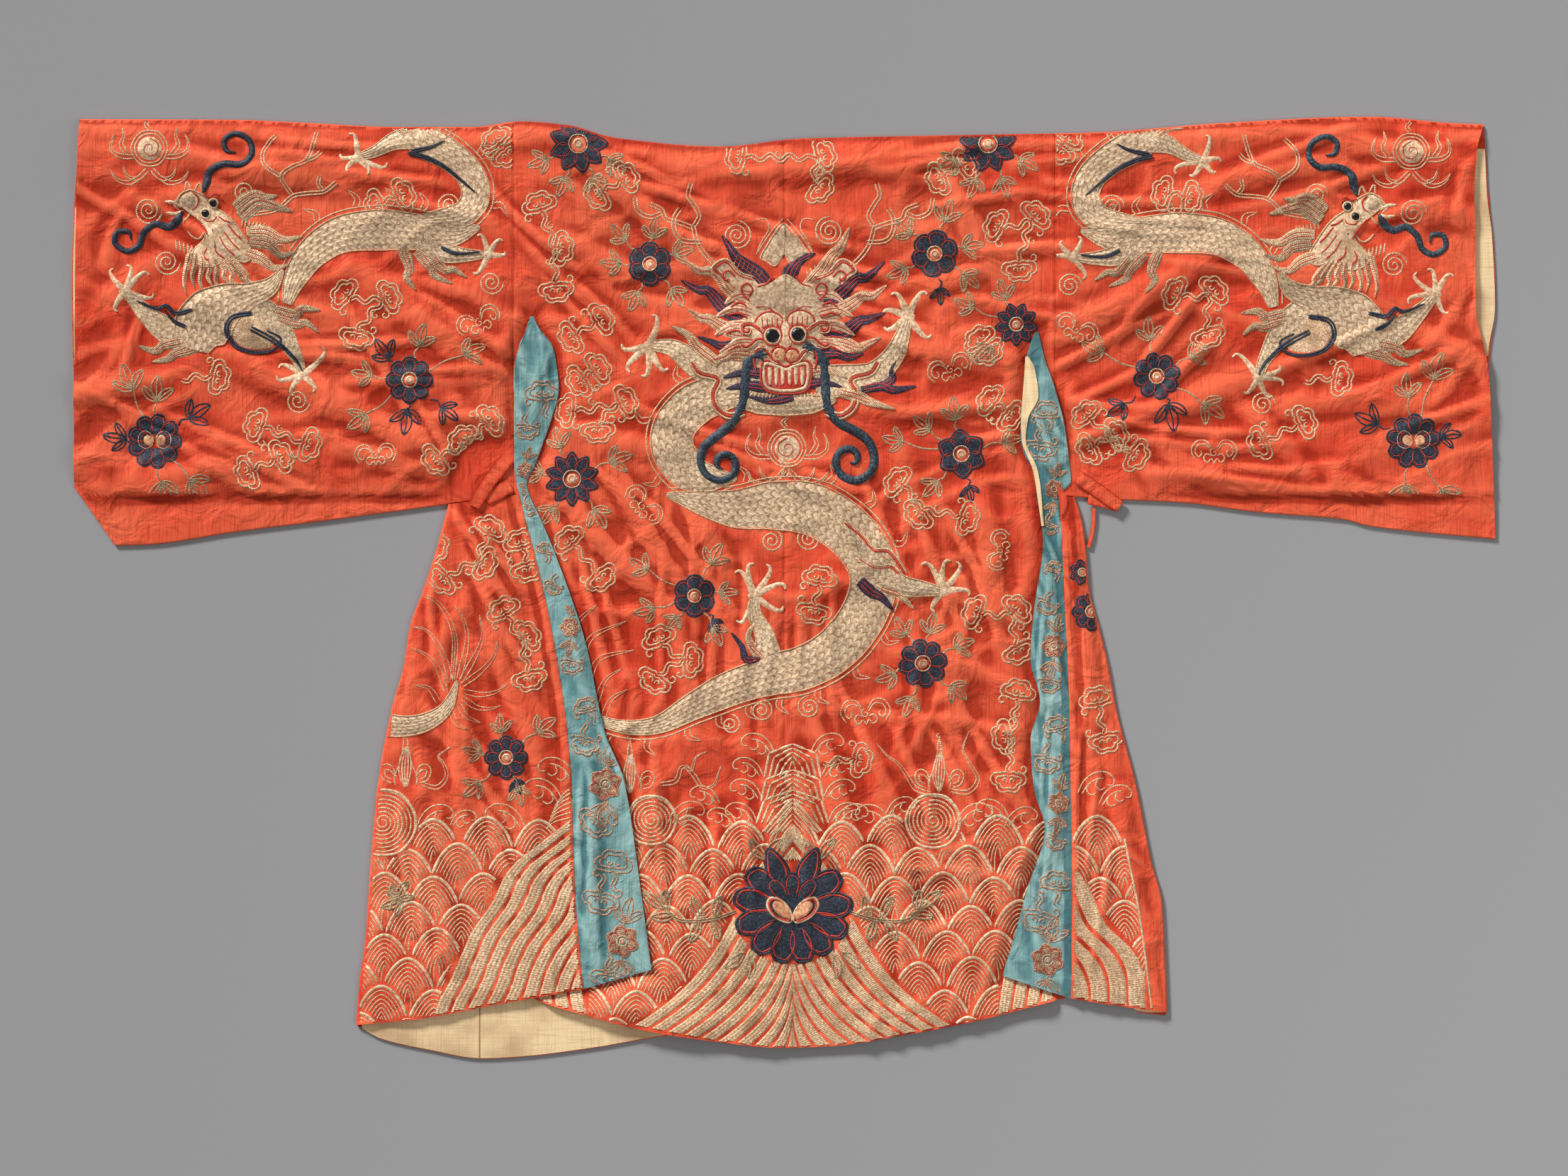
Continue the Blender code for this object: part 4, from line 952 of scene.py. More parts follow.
def scale_material(name, rows, length, base, light, dark):
    """Gilt thread laid in overlapping scales. V runs -1 to 1 across the body, so the scales shrink as it narrows.
    The colour follows the bump: painted light where a scale stands high, painted shade where it sinks under the next.
    """
    material, tree, shader = start_material(name, 0.62, Metallic=0.18)
    uv = add_node(tree, "SeparateXYZ", {"Vector": add_node(tree, "UVMap", uv_map="thread").outputs[0]})
    spots = add_node(tree, "TexCoord").outputs["Object"]
    fine = add_node(tree, "TexNoise", {"Vector": spots, "Scale": 230.0, "Detail": 3.0, "Roughness": 0.75}).outputs[0]
    worn = add_node(tree, "TexNoise", {"Vector": spots, "Scale": 22.0, "Detail": 4.0}).outputs[0]
    sockets = {"u": uv.outputs["X"], "v": uv.outputs["Y"], "fine": fine}
    # each row of scales starts half a scale further on, and its edges bow
    for result, operation, *terms in (
        ("across", "MULTIPLY_ADD", "v", rows / 2, 50.0), ("row", "FLOOR", "across"),
        ("shift", "MULTIPLY", "row", 0.5), ("part", "FRACT", "across"), ("arc", "MULTIPLY", "part", math.pi),
        ("bow", "SINE", "arc"),
        ("along", "MULTIPLY_ADD", "u", 10 / length, "shift"), ("bowed", "MULTIPLY_ADD", "bow", 0.55, "along"),
        ("scale", "FRACT", "bowed"), ("height", "MULTIPLY_ADD", "scale", -0.8, "fine"),
    ):
        inputs = {i: sockets.get(term, term) for i, term in enumerate(terms)}
        sockets[result] = add_node(tree, "Math", inputs, operation=operation).outputs[0]
    # painted light where each scale stands high and painted shade where it sinks under the next, following the bump;
    # the worn patches are real wear
    colour = tinted(
        tree, linear(light), (sockets["scale"], 0.15, 0.8, 1.0, base), (sockets["scale"], 0.7, 0.98, 0.65, dark),
        (fine, 0.52, 0.34, 0.9, dark), (worn, 0.5, 0.75, 0.5, dark), (fine, 0.56, 0.7, 0.5, light),
    )
    finish_material(tree, shader, colour, sockets["height"], 0.0013, 0.8)
    return material


THREADS = {
    "gold": thread_material("laid_gilt_thread", "d6aa80", "f8debb", "a07a54", 0.2, 0.6),
    "bronze": thread_material("tarnished_gilt_thread", "b1906b", "d9bd96", "705842", 0.2, 0.62),
    "pale": thread_material("bright_gilt_thread", "dfb890", "f9e3c6", "ad845c", 0.2, 0.6, 260.0, False),
    "brow": thread_material("dull_gilt_thread", "cbaa86", "ecd3b1", "8f6e52", 0.2, 0.62, 260.0, False),
    "scales": scale_material("gilt_scales", 6, 11.0, "d3aa82", "f3d9b6", "906c4c"),
    "fine_scales": scale_material("small_gilt_scales", 4, 8.0, "d2ad86", "f1d8b6", "957150"),
    "navy": thread_material("navy_knots", "151b2b", "3c475c", "090c15", 0.0, 0.62, 380.0, False),
    "slate": thread_material("slate_knots", "1c2b38", "4d6370", "0e1820", 0.0, 0.62, 380.0, False),
    "plum": thread_material("plum_floss", "2d1b36", "5f4667", "150b1c", 0.0, 0.6, 380.0),
    "copper": thread_material("copper_couching", "b58a6c", "e0b994", "714c3b", 0.15, 0.62),
    "rose": thread_material("rose_gilt_thread", "dc9a6c", "f2c79e", "b56f4c", 0.15, 0.6, 260.0, False),
    "red": thread_material("vermilion_floss", "c93320", "d9452e", "9c2114", 0.0, 0.6),
    "jet": thread_material("black_floss", "060607", "16161a", "020203", 0.0, 0.3, 300.0, False),
}
print("threads:", ", ".join(THREADS))

# %% [markdown]
# ## How the sewing is made
# Every line and filled shape is drawn flat first, in millimetres on the plan of the robe, and is then lifted onto
# the cloth by the map of heights. Making each as an object would give thousands, so strips are collected by ground
# and thread, and each collection becomes one mesh. A strip loses its faces where its ground ends, as at a seam, or
# runs well under a flap.

# %% The grounds that are sewn on
UNDER, EDGE, SINK, CORD_HIGH = 8.0, 1.2, 0.28, 1.0
left_cuff_edge, right_cuff_edge = curve(LEFT_CUFF, "y", "upper"), curve(RIGHT_CUFF, "y", "upper")


def back_face(x, y):
    return BACK_Z + CLOTH + back_rise(x, y)


def top_face(x, y):
    return TOP_Z + CLOTH + top_rise(x, y)


def ground_of(face, left, right, foot, margins, top=np.inf):
    """A ground: the height of its face, and a test of where it can be sewn, which keeps off its edges by margins."""

    def holds(x, y):
        inside = (x > left(y) + margins[0]) & (x < right(y) - margins[1]) & (y > foot(x) + margins[2]) & (y < top)
        if face is back_face:
            inside &= (y < shoulder(x) - EDGE) & (past_flap(x, y) > -UNDER)
        return inside

    return face, holds


left_seam, right_seam = constant(-SHOULDER_SEAM), constant(SHOULDER_SEAM)
GROUNDS = {
    "back": ground_of(back_face, left_seam, right_seam, back_hem, (1, 1, EDGE)),
    "sleeve_left": ground_of(back_face, left_cuff_edge, left_seam, left_sleeve_hem, (2, 1, 2)),
    "sleeve_right": ground_of(back_face, right_seam, right_cuff_edge, right_sleeve_hem, (1, 2, 2)),
    "side_left": ground_of(top_face, left_contour, left_flap_left, left_side_hem, (2, EDGE, EDGE), ARMPIT - 4),
    "side_right": ground_of(top_face, right_flap_right, right_contour, right_side_hem, (EDGE, 2, EDGE), ARMPIT - 4),
    "flap_left": ground_of(top_face, left_flap_left, left_flap_right, left_flap_hem, (2, 2, EDGE)),
    "flap_right": ground_of(top_face, right_flap_left, right_flap_right, right_flap_hem, (2, 2, EDGE)),
}
print("grounds:", ", ".join(GROUNDS))

# %% Collecting what is sewn
sewn = {}


def sewn_so_far(what):
    print(what + ":", sum(len(parts) for parts in sewn.values()), "strips so far")


def strip(ground, thread, x, y, lift, u, v, where=None):
    """Collects a grid of faces. lift is how far each point stands above the cloth."""
    shape = np.broadcast_shapes(x.shape, y.shape, lift.shape)
    x, y, lift, u, v = (np.broadcast_to(a, shape) for a in (x, y, lift, u, v))
    keep = GROUNDS[ground][1](x, y)
    if where is not None:
        keep = keep & where(x, y)
    whole = keep[:-1, :-1] & keep[1:, :-1] & keep[:-1, 1:] & keep[1:, 1:]
    if not whole.any():
        return
    index = np.arange(x.size).reshape(shape)
    quads = np.stack([index[:-1, :-1], index[1:, :-1], index[1:, 1:], index[:-1, 1:]], -1)[whole]
    flat = np.stack([x.ravel(), y.ravel()], -1)
    one, two = flat[quads[:, 2]] - flat[quads[:, 0]], flat[quads[:, 3]] - flat[quads[:, 1]]
    turned = one[:, 0] * two[:, 1] - one[:, 1] * two[:, 0] < 0
    quads[turned] = quads[turned][:, ::-1]
    sewn.setdefault((ground, thread), []).append((flat, lift.ravel(), u.ravel(), v.ravel(), quads))


sewn_so_far("nothing yet")


# %% Lines through points, and their normals
def through(points, step=3.0, closed=False):
    """A smooth line through points, with a point about every step."""
    p = np.asarray(points, float)
    if closed:
        p = np.vstack([p[-1:], p, p[:2]])
    else:
        p = np.vstack([2 * p[:1] - p[1:2], p, 2 * p[-1:] - p[-2:-1]])
    a, b, c, d = (p[i:len(p) - 3 + i, None, :] for i in range(4))
    t = np.linspace(0, 1, 12, endpoint=False)[None, :, None]
    bent = 0.5 * (2 * b + (c - a) * t + (2 * a - 5 * b + 4 * c - d) * t ** 2 + (3 * b - a - 3 * c + d) * t ** 3)
    line = np.vstack([bent.reshape(-1, 2), p[-2:-1]])
    gone = np.concatenate([[0], np.cumsum(np.hypot(*np.diff(line, axis=0).T))])
    marks = np.linspace(0, gone[-1], max(3, int(round(gone[-1] / step)) + 1))
    return np.column_stack([np.interp(marks, gone, line[:, 0]), np.interp(marks, gone, line[:, 1])])


def normals(line):
    way = np.gradient(line, axis=0)
    return np.column_stack([-way[:, 1], way[:, 0]]) / np.maximum(np.hypot(*way.T), 1e-6)[:, None]


def beside(line, offset):
    """The same line moved to its left, by one distance or by one for each point."""
    return line + normals(line) * np.broadcast_to(offset, len(line))[:, None]


def placed(points, x=0.0, y=0.0, turn=0.0, size=1.0, flip=1):
    """A small drawing moved to its place: mirrored by flip, sized, then turned."""
    a = math.radians(turn)
    px, py = (np.asarray(points, float) * size).T
    px = px * flip
    return np.column_stack([x + px * math.cos(a) - py * math.sin(a), y + px * math.sin(a) + py * math.cos(a)])


print("a line through three points, 40 mm long, has", len(through([(0, 0), (20, 5), (40, 0)])), "points")


# %% The three ways of laying thread
def cord(ground, thread, line, width, high=0.6, where=None, shape=None, on=None):
    """One laid cord along a line, rounded on top and narrowed at its ends. It stands on the cloth or on other
    threads: high is how far its top is above the cloth, and on how far its sides are."""
    gone = np.concatenate([[0], np.cumsum(np.hypot(*np.diff(line, axis=0).T))])
    ends = np.minimum(gone, gone[-1] - gone) / width
    half = width / 2 * np.minimum(1, 0.3 + ends / 1.4)
    if shape is not None:
        half = half * shape(gone / gone[-1])
    s = np.linspace(-1, 1, 3 if width < 3.4 else 5)[None, :]
    side = normals(line) * half[:, None]
    foot = max(0.0, high - CORD_HIGH) if on is None else on
    lift = foot + (high - foot) * (1 - s ** 2) - SINK * s ** 2
    strip(ground, thread, line[:, :1] + side[:, :1] * s, line[:, 1:] + side[:, 1:] * s, lift,
          gone[:, None] / 10, s, where)


def filled(ground, thread, left, right, columns, high, where=None, rows=1.0, on=0.0):
    """Thread laid side by side between two lines that have as many points, in rows on either side of the middle."""
    s = np.linspace(-1, 1, columns + 1)[None, :]
    middle = (left + right) / 2
    gone = np.concatenate([[0], np.cumsum(np.hypot(*np.diff(middle, axis=0).T))])
    x = mix(left[:, :1], right[:, :1], (s + 1) / 2)
    y = mix(left[:, 1:], right[:, 1:], (s + 1) / 2)
    strip(ground, thread, x, y, on + (high - on) * (1 - s ** 6) - SINK * s ** 6, gone[:, None] / 10, s * rows, where)


def blob(ground, thread, outline, rings, high, step=4.0, on=0.0):
    """Thread laid round and round inside a closed outline."""
    edge = through(outline, step, closed=True)
    middle = edge[:-1].mean(0)
    r = np.linspace(0.03, 1, rings + 1)[:, None]
    x, y = middle[0] + (edge[:, 0] - middle[0]) * r, middle[1] + (edge[:, 1] - middle[1]) * r
    lift = on + (high - on) * (1 - r ** 8) - SINK * r ** 8
    strip(ground, thread, x, y, lift + 0 * x, np.arange(len(edge))[None, :] * step / 10, 0 * r)


def drawn(ground, thread, *lines, width=2.0, high=0.6, step=2.6, **place):
    """Several cords, each through its own points, all moved to one place."""
    for points in lines:
        cord(ground, thread, through(placed(points, **place), step), width, high)


def rim(ground, thread, outline, width, high, step=2.4):
    """One cord laid round a closed outline."""
    cord(ground, thread, through(outline, step, closed=True), width, high)


def bundle(ground, line, width, high, *cords):
    """Cords laid along one line, each as (how far beside it, thread)."""
    for part, thread in cords:
        cord(ground, thread, beside(line, part), width, high)


print("thread is laid as a cord, side by side, or round and round")

# %% [markdown]
# ## The parts of the pattern
# A court robe is sewn from a small stock of signs, repeated at other sizes and turns: scrolling clouds, bats,
# flowers with their sprigs, spirals, flames and waves. Each is a function here, drawn from arcs and sine curves, so
# its lines stay as even as a practised hand would lay them.


# %% Spirals, leaves and flames
def spiral(ground, x, y, radius, turns=2.5, start=90.0, flip=1, thread="gold", width=3.2):
    t = np.linspace(0.07, 1, max(12, int(turns * 16 * (radius / 15) ** 0.5)))
    a = math.radians(start) + flip * 2 * math.pi * turns * (1 - t)
    cord(ground, thread, np.column_stack([x + radius * t * np.cos(a), y + radius * t * np.sin(a)]), width)


def plume(ground, thread, points, width, lines, leafy=False, laid=2.8, high=0.6):
    """Lines that part from a root and meet at a tip: a flame, or a leaf if they also meet at the root. The inner
    lines of a flame end where there is no more room for them."""
    line = through(points, 3.0)
    t = np.linspace(0, 1, len(line))
    swell = np.sin(math.pi * t) ** 0.75 if leafy else np.minimum(1, 0.62 + 1.6 * t) * (1 - t) ** 0.8
    spread_out = swell * (width - laid)
    for s in np.linspace(-1, 1, lines):
        one = beside(line, s * spread_out / 2)
        if abs(s) < 0.99 and not leafy:
            fits = spread_out / (2 if abs(s) < 0.01 else lines - 1) > laid + 0.6
            one = one[:np.flatnonzero(np.append(True, fits)).max()]
        if len(one) > 2:
            cord(ground, thread, one, laid, high, shape=None if leafy else (lambda part: 1.1 - 0.5 * part))


def tongue(ground, thread, points, width, stripes, high, on=0.0, red=2.5):
    """A flame laid solid, with red lines let in along it, each as far as there is room for it."""
    line = through(points, 3.0)
    t = np.linspace(0, 1, len(line))
    half = np.minimum(1, 0.62 + 1.6 * t) * (1 - t) ** 0.7 * width / 2 + 0.9
    filled(ground, thread, beside(line, half), beside(line, -half), 2 * stripes + 2, high, rows=width / 3.2, on=on)
    for s in np.linspace(-1, 1, stripes + 2)[1:-1]:
        room = np.flatnonzero(np.append(True, 2 * half / (1 if abs(s) < 0.01 else stripes + 1) > 3.6)).max()
        one = beside(line, s * half * 0.94)[1:room]
        if len(one) > 3:
            cord(ground, "red", one, red, high + 0.45, on=high - 0.25)


print("a flame's red lines need 3.6 mm each")


# %% Scrolling clouds
def lobe(middle, radius, first, last):
    """Part of a circle, between two directions."""
    a = np.radians(np.linspace(first, last, 6))
    return np.column_stack([middle[0] + radius * np.cos(a), middle[1] + radius * np.sin(a)])


def circle(x, y, radius):
    return lobe((x, y), radius, 0, 300)


def scroll(middle, radius, turns, end, flip):
    t = np.linspace(0.2, 1, 9)
    a = math.radians(end) + flip * 2 * math.pi * turns * (1 - t)
    return np.column_stack([middle[0] + radius * t * np.cos(a), middle[1] + radius * t * np.sin(a)])


OUTER_CLOUD = np.vstack([
    lobe((-4.2, -5.0), 4.6, 325, 240), lobe((-11.8, -1.8), 6.6, 285, 95), lobe((-5.2, 5.0), 6.6, 185, 58),
    lobe((5.2, 5.0), 6.6, 122, -5), lobe((11.8, -1.8), 6.6, 85, -105), lobe((4.2, -5.0), 4.6, -60, -145),
])
INNER_CLOUD = np.vstack([OUTER_CLOUD, OUTER_CLOUD[:1]]) * (0.72, 0.62) + (0.0, 0.4)
CURLS = [scroll((side * 4.4, -0.4), 3.4, 1.1, 90 + side * 50, side) for side in (-1, 1)]
EAR = np.vstack([[(9.0, -8.4)], scroll((14.5, -12.5), 5.4, 1.3, 150, -1)[::-1]])


def wavy(start, end, swing, period):
    """A line from start to end that swings from side to side."""
    start, end = np.asarray(start, float), np.asarray(end, float)
    span = np.hypot(*(end - start))
    t = np.linspace(0, 1, max(8, int(span / 2.4)))
    side = np.array([start[1] - end[1], end[0] - start[0]]) / span
    return mix(start, end, t[:, None]) + side * (swing * np.sin(2 * math.pi * span / period * t)
                                                 * np.sin(math.pi * t) ** 0.4)[:, None]


def clouds(ground, *heads, thread="gold", tail=28.0):
    """Cloud heads (x, y, turn, size), with a wavy double line from each to the next, and a tail on a single one."""
    feet = []
    for k, (x, y, turn, size) in enumerate(heads):
        place = dict(x=x, y=y, turn=turn, size=size, flip=1 if k % 2 else -1)
        drawn(ground, thread, OUTER_CLOUD, INNER_CLOUD, EAR, *CURLS, width=3.1, high=0.9, step=2.2, **place)
        feet.append(placed([(0, -9)], **place)[0])
    if len(heads) == 1:
        x, y, turn, size = heads[0]
        feet.append(placed([(tail * 0.35, -9 - tail)], x, y, turn, size)[0])
    for first, last in zip(feet, feet[1:]):
        if np.hypot(*(last - first)) > 5:
            line = wavy(first, last, 4.2, 25.0)
            bundle(ground, line, 2.9, 0.9, (-2.2, thread), (2.2, thread))
            if len(line) > 18:
                x, y = beside(line, 7.5)[len(line) // 2]
                spiral(ground, x, y, 5.4, 1.2, thread=thread, width=2.5)


print("a cloud's outline has", len(OUTER_CLOUD), "points")

# %% Bats
BAT_WING = [(3, 2), (9, 9), (17, 8), (20, 1), (16, -4), (13, 0), (15, 3)]
BAT_FRONT = [(3, -3), (8, -1), (11, -6), (7, -10), (3, -6), (0, -11)]
BAT_RIM = [(3, 5), (9, 13), (19, 12), (24, 2), (19, -8)]


def bat(ground, x, y, turn, size):
    """A bat, whose name sounds like the word for luck: two scrolled wings and a round head."""
    for flip in (1, -1):
        place = dict(width=2.7, x=x, y=y, turn=turn, size=size, flip=flip)
        drawn(ground, "gold", BAT_WING, BAT_FRONT, step=2.2, **place)
        drawn(ground, "gold", BAT_RIM, **place)
    spiral(ground, x, y, 5.0 * size, 1.3, width=2.4)


print("a bat is", 2 * max(x for x, _ in BAT_RIM), "mm wide at size 1")


# %% Flowers and their sprigs
def petal(ground, x, y, turn, inner, outer, width, thread, pointed, high=0.75):
    """A filled petal with a rim of laid thread, and the line of ground colour that shows inside the rim."""
    t = np.linspace(0, 1, 15)
    half = width / 2 * np.sin(math.pi * (0.06 + 0.9 * t) ** (0.7 if pointed else 1.15)) ** (0.8 if pointed else 0.5)
    edging, gap = (2.8, 1.7) if outer < 50 else (3.4, 2.5)

    def sides(reach, half):
        return placed(np.column_stack([reach, half]), x, y, turn), placed(np.column_stack([reach, -half]), x, y, turn)

    left, right = sides(mix(inner, outer, t), half)
    filled(ground, thread, left, right, 4, high)
    edge = np.vstack([left, placed([(outer + 0.8, 0)], x, y, turn), right[::-1]])
    cord(ground, thread, through(edge[::2], 2.4), edging, high + 0.4)
    inset = edging / 2 + gap / 2
    left, right = sides(mix(inner + inset, outer - inset, t), half * (1 - 2 * inset / width))
    cord(ground, "red", through(np.vstack([left, right[::-1]])[::2], 2.4), gap, high + 0.5)


def leaf(ground, x, y, turn, length, width, thread, high):
    points = placed([(0, 0), (length * 0.5, width * 0.12), (length, 0)], x, y, turn)
    plume(ground, thread, points, width, 3, True, 2.9, high)


def sprig(ground, x, y, turn, length, thread="bronze", size=1.0, bend=8.0, high=0.7):
    """A stem with a leaf at its tip and one at either side."""
    stem = placed([(0, 0), (length * 0.5, bend * 0.6), (length, 0)], x, y, turn)
    cord(ground, thread, through(stem, 3), 3.2, high)
    tip = stem[-1]
    for lean, part in ((0, 1.0), (48, 0.8), (-48, 0.8)):
        leaf(ground, tip[0], tip[1], turn + lean, 28 * size * part, 13.5 * size * part, thread, high)


KIDNEY = [(1.5, -2), (3, 6), (9, 10), (15, 6), (15, -3), (8, -7)]


def flower(ground, x, y, radius, petals, turn, sprigs, pointed=False, heart="eye", thread="navy", leaves="bronze"):
    """An open flower with a gilt heart. Each sprig is (direction, how far its stem reaches, size)."""
    for way, reach, size in sprigs:
        root = placed([(radius * 0.9, 0)], x, y, way)[0]
        sprig(ground, *root, way, reach, leaves, size, bend=6 if way % 20 else -6)
    span = 360 / petals
    width = 1.72 * radius * math.sin(math.pi / petals)
    for k in range(petals):
        petal(ground, x, y, turn + span * k, radius * 0.27, radius, width, thread, pointed)
    if heart == "eye":
        blob(ground, "pale", circle(x, y, radius * 0.21), 3, 1.2, 2.4)
        rim(ground, "red", circle(x, y, radius * 0.12), 1.6, 1.7, 1.6)
        rim(ground, "gold", circle(x, y, radius * 0.33), 2.6, 1.5, 2.2)
    else:
        size = radius / 34
        for flip in (-1, 1):
            blob(ground, "rose", placed(KIDNEY, x, y, 0, size, flip), 3, 1.3, 2.5)
            rim(ground, "red", placed(KIDNEY, x, y, 0, 1.1 * size, flip), 1.6, 1.2)
            rim(ground, "pale", placed(KIDNEY, x, y, 0, 1.32 * size, flip), 2.2, 1.2)


print("a flower of radius 30 has petals", round(1.72 * 30 * math.sin(math.pi / 8), 1), "mm wide")

# %% [markdown]
# ## Dragons
# A dragon's body is one long tapering band of scales. A line down its middle and a width at each point give both
# edges. A fin line with small hooked spines follows the outer edge of each bend, and legs, paws and flames are
# built the same way at smaller sizes.


# %% Bodies, legs and paws
def scaled(ground, points, widths, thread="scales", fin=0, gap=44.0, high=1.0):
    """A band of scales along a line. fin is the side that has spines: 1 is its left, -1 its right, 0 neither."""
    step = 4.0
    line = through(points, step)
    t = np.linspace(0, 1, len(line))
    half = np.interp(t, np.linspace(0, 1, len(widths)), np.asarray(widths, float)) / 2
    left, right = beside(line, half), beside(line, -half)
    filled(ground, thread, left, right, max(4, int(max(widths) / 4.5)), high)
    for edge in (left, right):
        cord(ground, "gold", edge, 2.0, high + 0.15)
    if not fin:
        return
    crest = beside(line, fin * (half + 5.5))
    cord(ground, "gold", crest, 2.6, 0.8)
    out, way = normals(line) * fin, np.gradient(line, axis=0)
    way = way / np.hypot(*way.T)[:, None]
    for i in range(int(gap / step / 2), len(line) - 3, int(gap / step)):
        root = crest[i]
        spine = [root - way[i] * 2, root + out[i] * 11 + way[i] * 2, root + out[i] * 23 - way[i] * 9]
        plume(ground, "gold", spine, 12, 2, laid=2.7)


def paw(ground, x, y, tips, size):
    """Claws from one palm to each tip, hooked at the end."""
    palm = np.array((x, y), float)
    for k, tip in enumerate(tips):
        tip = np.array(tip, float)
        reach = tip - palm
        side = np.array((-reach[1], reach[0])) * (1 if k % 2 else -1)
        points = [palm, palm + reach * 0.45 + side * 0.07, palm + reach * 0.84 + side * 0.08, tip, tip - side * 0.14]
        line = through(points, 2.6)
        t = np.linspace(0, 1, len(line))
        half = size * (4.6 - 3.3 * t ** 1.6)
        filled(ground, "pale", beside(line, half), beside(line, -half), 3, 0.9)
    blob(ground, "pale", placed([(8, 0), (0, 7), (-8, 0), (0, -7)], x, y, 0, size), 2, 1.2, 3)


def flames(ground, rows, high):
    """Flames of a mane: each row is a thread, a width, and points from its root to its tip."""
    for thread, width, *points in rows:
        tongue(ground, thread, points, 1.06 * width, 3 if width > 19 else 2, high, max(0.0, high - 1.0))


print("a body's edge is a cord of 2 mm, and its spines are 23 mm long")

# %% [markdown]
# ## The great dragon on the back
# It faces us, as only the chief dragon of a robe does. Its body leaves the head to the left, sweeps across under it
# and ends under the left flap. Its face is laid in filled shapes first, and then lines of thread on top of them
# make the brows, muzzle and teeth.

# %% The body and legs
BACK = "back"
BODY = (
    # points of its middle line, widths along it, which side has the spines
    ([(-52, 250), (-84, 246), (-114, 234), (-137, 210), (-143, 186), (-134, 162), (-108, 142), (-60, 139)],
     (30, 48, 54, 54, 54, 52, 34, 5), -1, 44),
    ([(-150, 119), (-112, 110), (-62, 101), (-12, 105), (36, 100), (78, 76), (106, 42), (114, 4), (98, -40),
      (66, -78), (26, -101), (-20, -112), (-68, -128), (-114, -150), (-160, -174), (-205, -177), (-250, -164)],
     (5, 30, 48, 60, 66, 66, 64, 60, 58, 58, 56, 54, 46, 42, 32, 22, 16, 10), 1, 46),
)
LEGS = (
    # points and widths of a leg, how high it stands, its palm, the tips of its claws, their size
    ([(-20, 262), (-75, 272), (-108, 282), (-140, 305), (-166, 309)], (46, 44, 36, 26, 13), 1.0,
     (-172, 308), [(-163, 346), (-206, 306), (-200, 279), (-177, 270), (-152, 277)], 1.25),
    ([(40, 262), (92, 266), (118, 274), (142, 300), (157, 340)], (42, 40, 32, 24, 12), 1.0,
     (158, 346), [(141, 376), (178, 377), (128, 353), (130, 329), (184, 319)], 1.25),
    ([(86, 64), (106, 38), (126, 17), (151, 3), (176, -1), (198, -4)], (10, 30, 38, 26, 21, 11), 1.6,
     (202, -4), [(180, 32), (207, 35), (224, 30), (236, -5), (189, -28)], 1.15),
    ([(-20, -96), (-24, -62), (-36, -36), (-38, -14)], (40, 26, 19, 11), 1.0,
     (-38, -10), [(-58, 22), (-44, 30), (-18, 27), (0, 4), (-3, -28), (-56, -44)], 1.15),
)
THIGH = (
    [(77, 83), (97, 67), (114, 48), (132, 46), (145, 32), (154, 17)],
    [(96, 37), (112, 27), (125, 25), (136, 26), (146, 18)],
)
HAUNCH = [(116, 288), (106, 274), (82, 266), (88, 248), (84, 230), (68, 219), (48, 224)]
for points, widths, fin, gap in BODY:
    scaled(BACK, points, widths, fin=fin, gap=gap)
for points, widths, high, palm, tips, size in LEGS:
    scaled(BACK, points, widths, "fine_scales", high=high)
    paw(BACK, *palm, tips, size)
for line in THIGH:
    bundle(BACK, through(line, 2.6), 2.8, 2.3, (0.0, "red"), (3.2, "gold"))
scaled(BACK, [(-66, 237), (-30, 234), (4, 233), (40, 235), (66, 242)], (8, 24, 26, 24, 8), "fine_scales", high=1.4)
for flip, shift in ((1, 4), (-1, -2)):
    line = through(placed(HAUNCH, shift, flip=flip), 2.6)
    bundle(BACK, line, 3.4, 2.2, (0.0, "red"), (3.4, "gold"), (-3.4, "gold"))
sewn_so_far("body and legs")

# %% Its mane, antlers and whiskers
MANE = (
    ("plum", 24, (-20, 384), (-34, 400), (-58, 418), (-68, 432), (-79, 449)),
    ("gold", 24, (-34, 362), (-66, 378), (-88, 402), (-108, 404), (-129, 419)),
    ("plum", 25, (-38, 344), (-72, 354), (-96, 378), (-110, 380), (-131, 392)),
    ("gold", 25, (-36, 324), (-72, 330), (-94, 342), (-106, 344), (-123, 355)),
    ("plum", 16, (-46, 312), (-78, 308), (-94, 314), (-110, 320)),
    ("gold", 24, (30, 384), (48, 402), (62, 424), (72, 434), (84, 460)),
    ("plum", 22, (4, 390), (12, 408), (24, 420), (40, 426)),
    ("plum", 25, (36, 352), (70, 374), (92, 394), (106, 396), (128, 416)),
    ("gold", 25, (42, 346), (78, 358), (100, 372), (112, 372), (131, 386)),
    ("plum", 26, (44, 330), (76, 326), (96, 340), (108, 342), (129, 351)),
    ("gold", 23, (40, 314), (72, 314), (94, 306), (104, 310), (123, 319)),
    ("plum", 22, (34, 298), (66, 300), (82, 294), (101, 299)),
    ("plum", 18, (98, 254), (124, 258), (140, 252), (168, 257)),
    ("plum", 14, (122, 256), (138, 266), (136, 278), (143, 290)),
    ("plum", 12, (-30, -90), (-48, -91), (-54, -74), (-67, -57)),
    ("gold", 14, (-24, -92), (-40, -76), (-45, -58), (-36, -44)),
    ("gold", 15, (120, 0), (142, -7), (152, -13), (165, -26)),
)
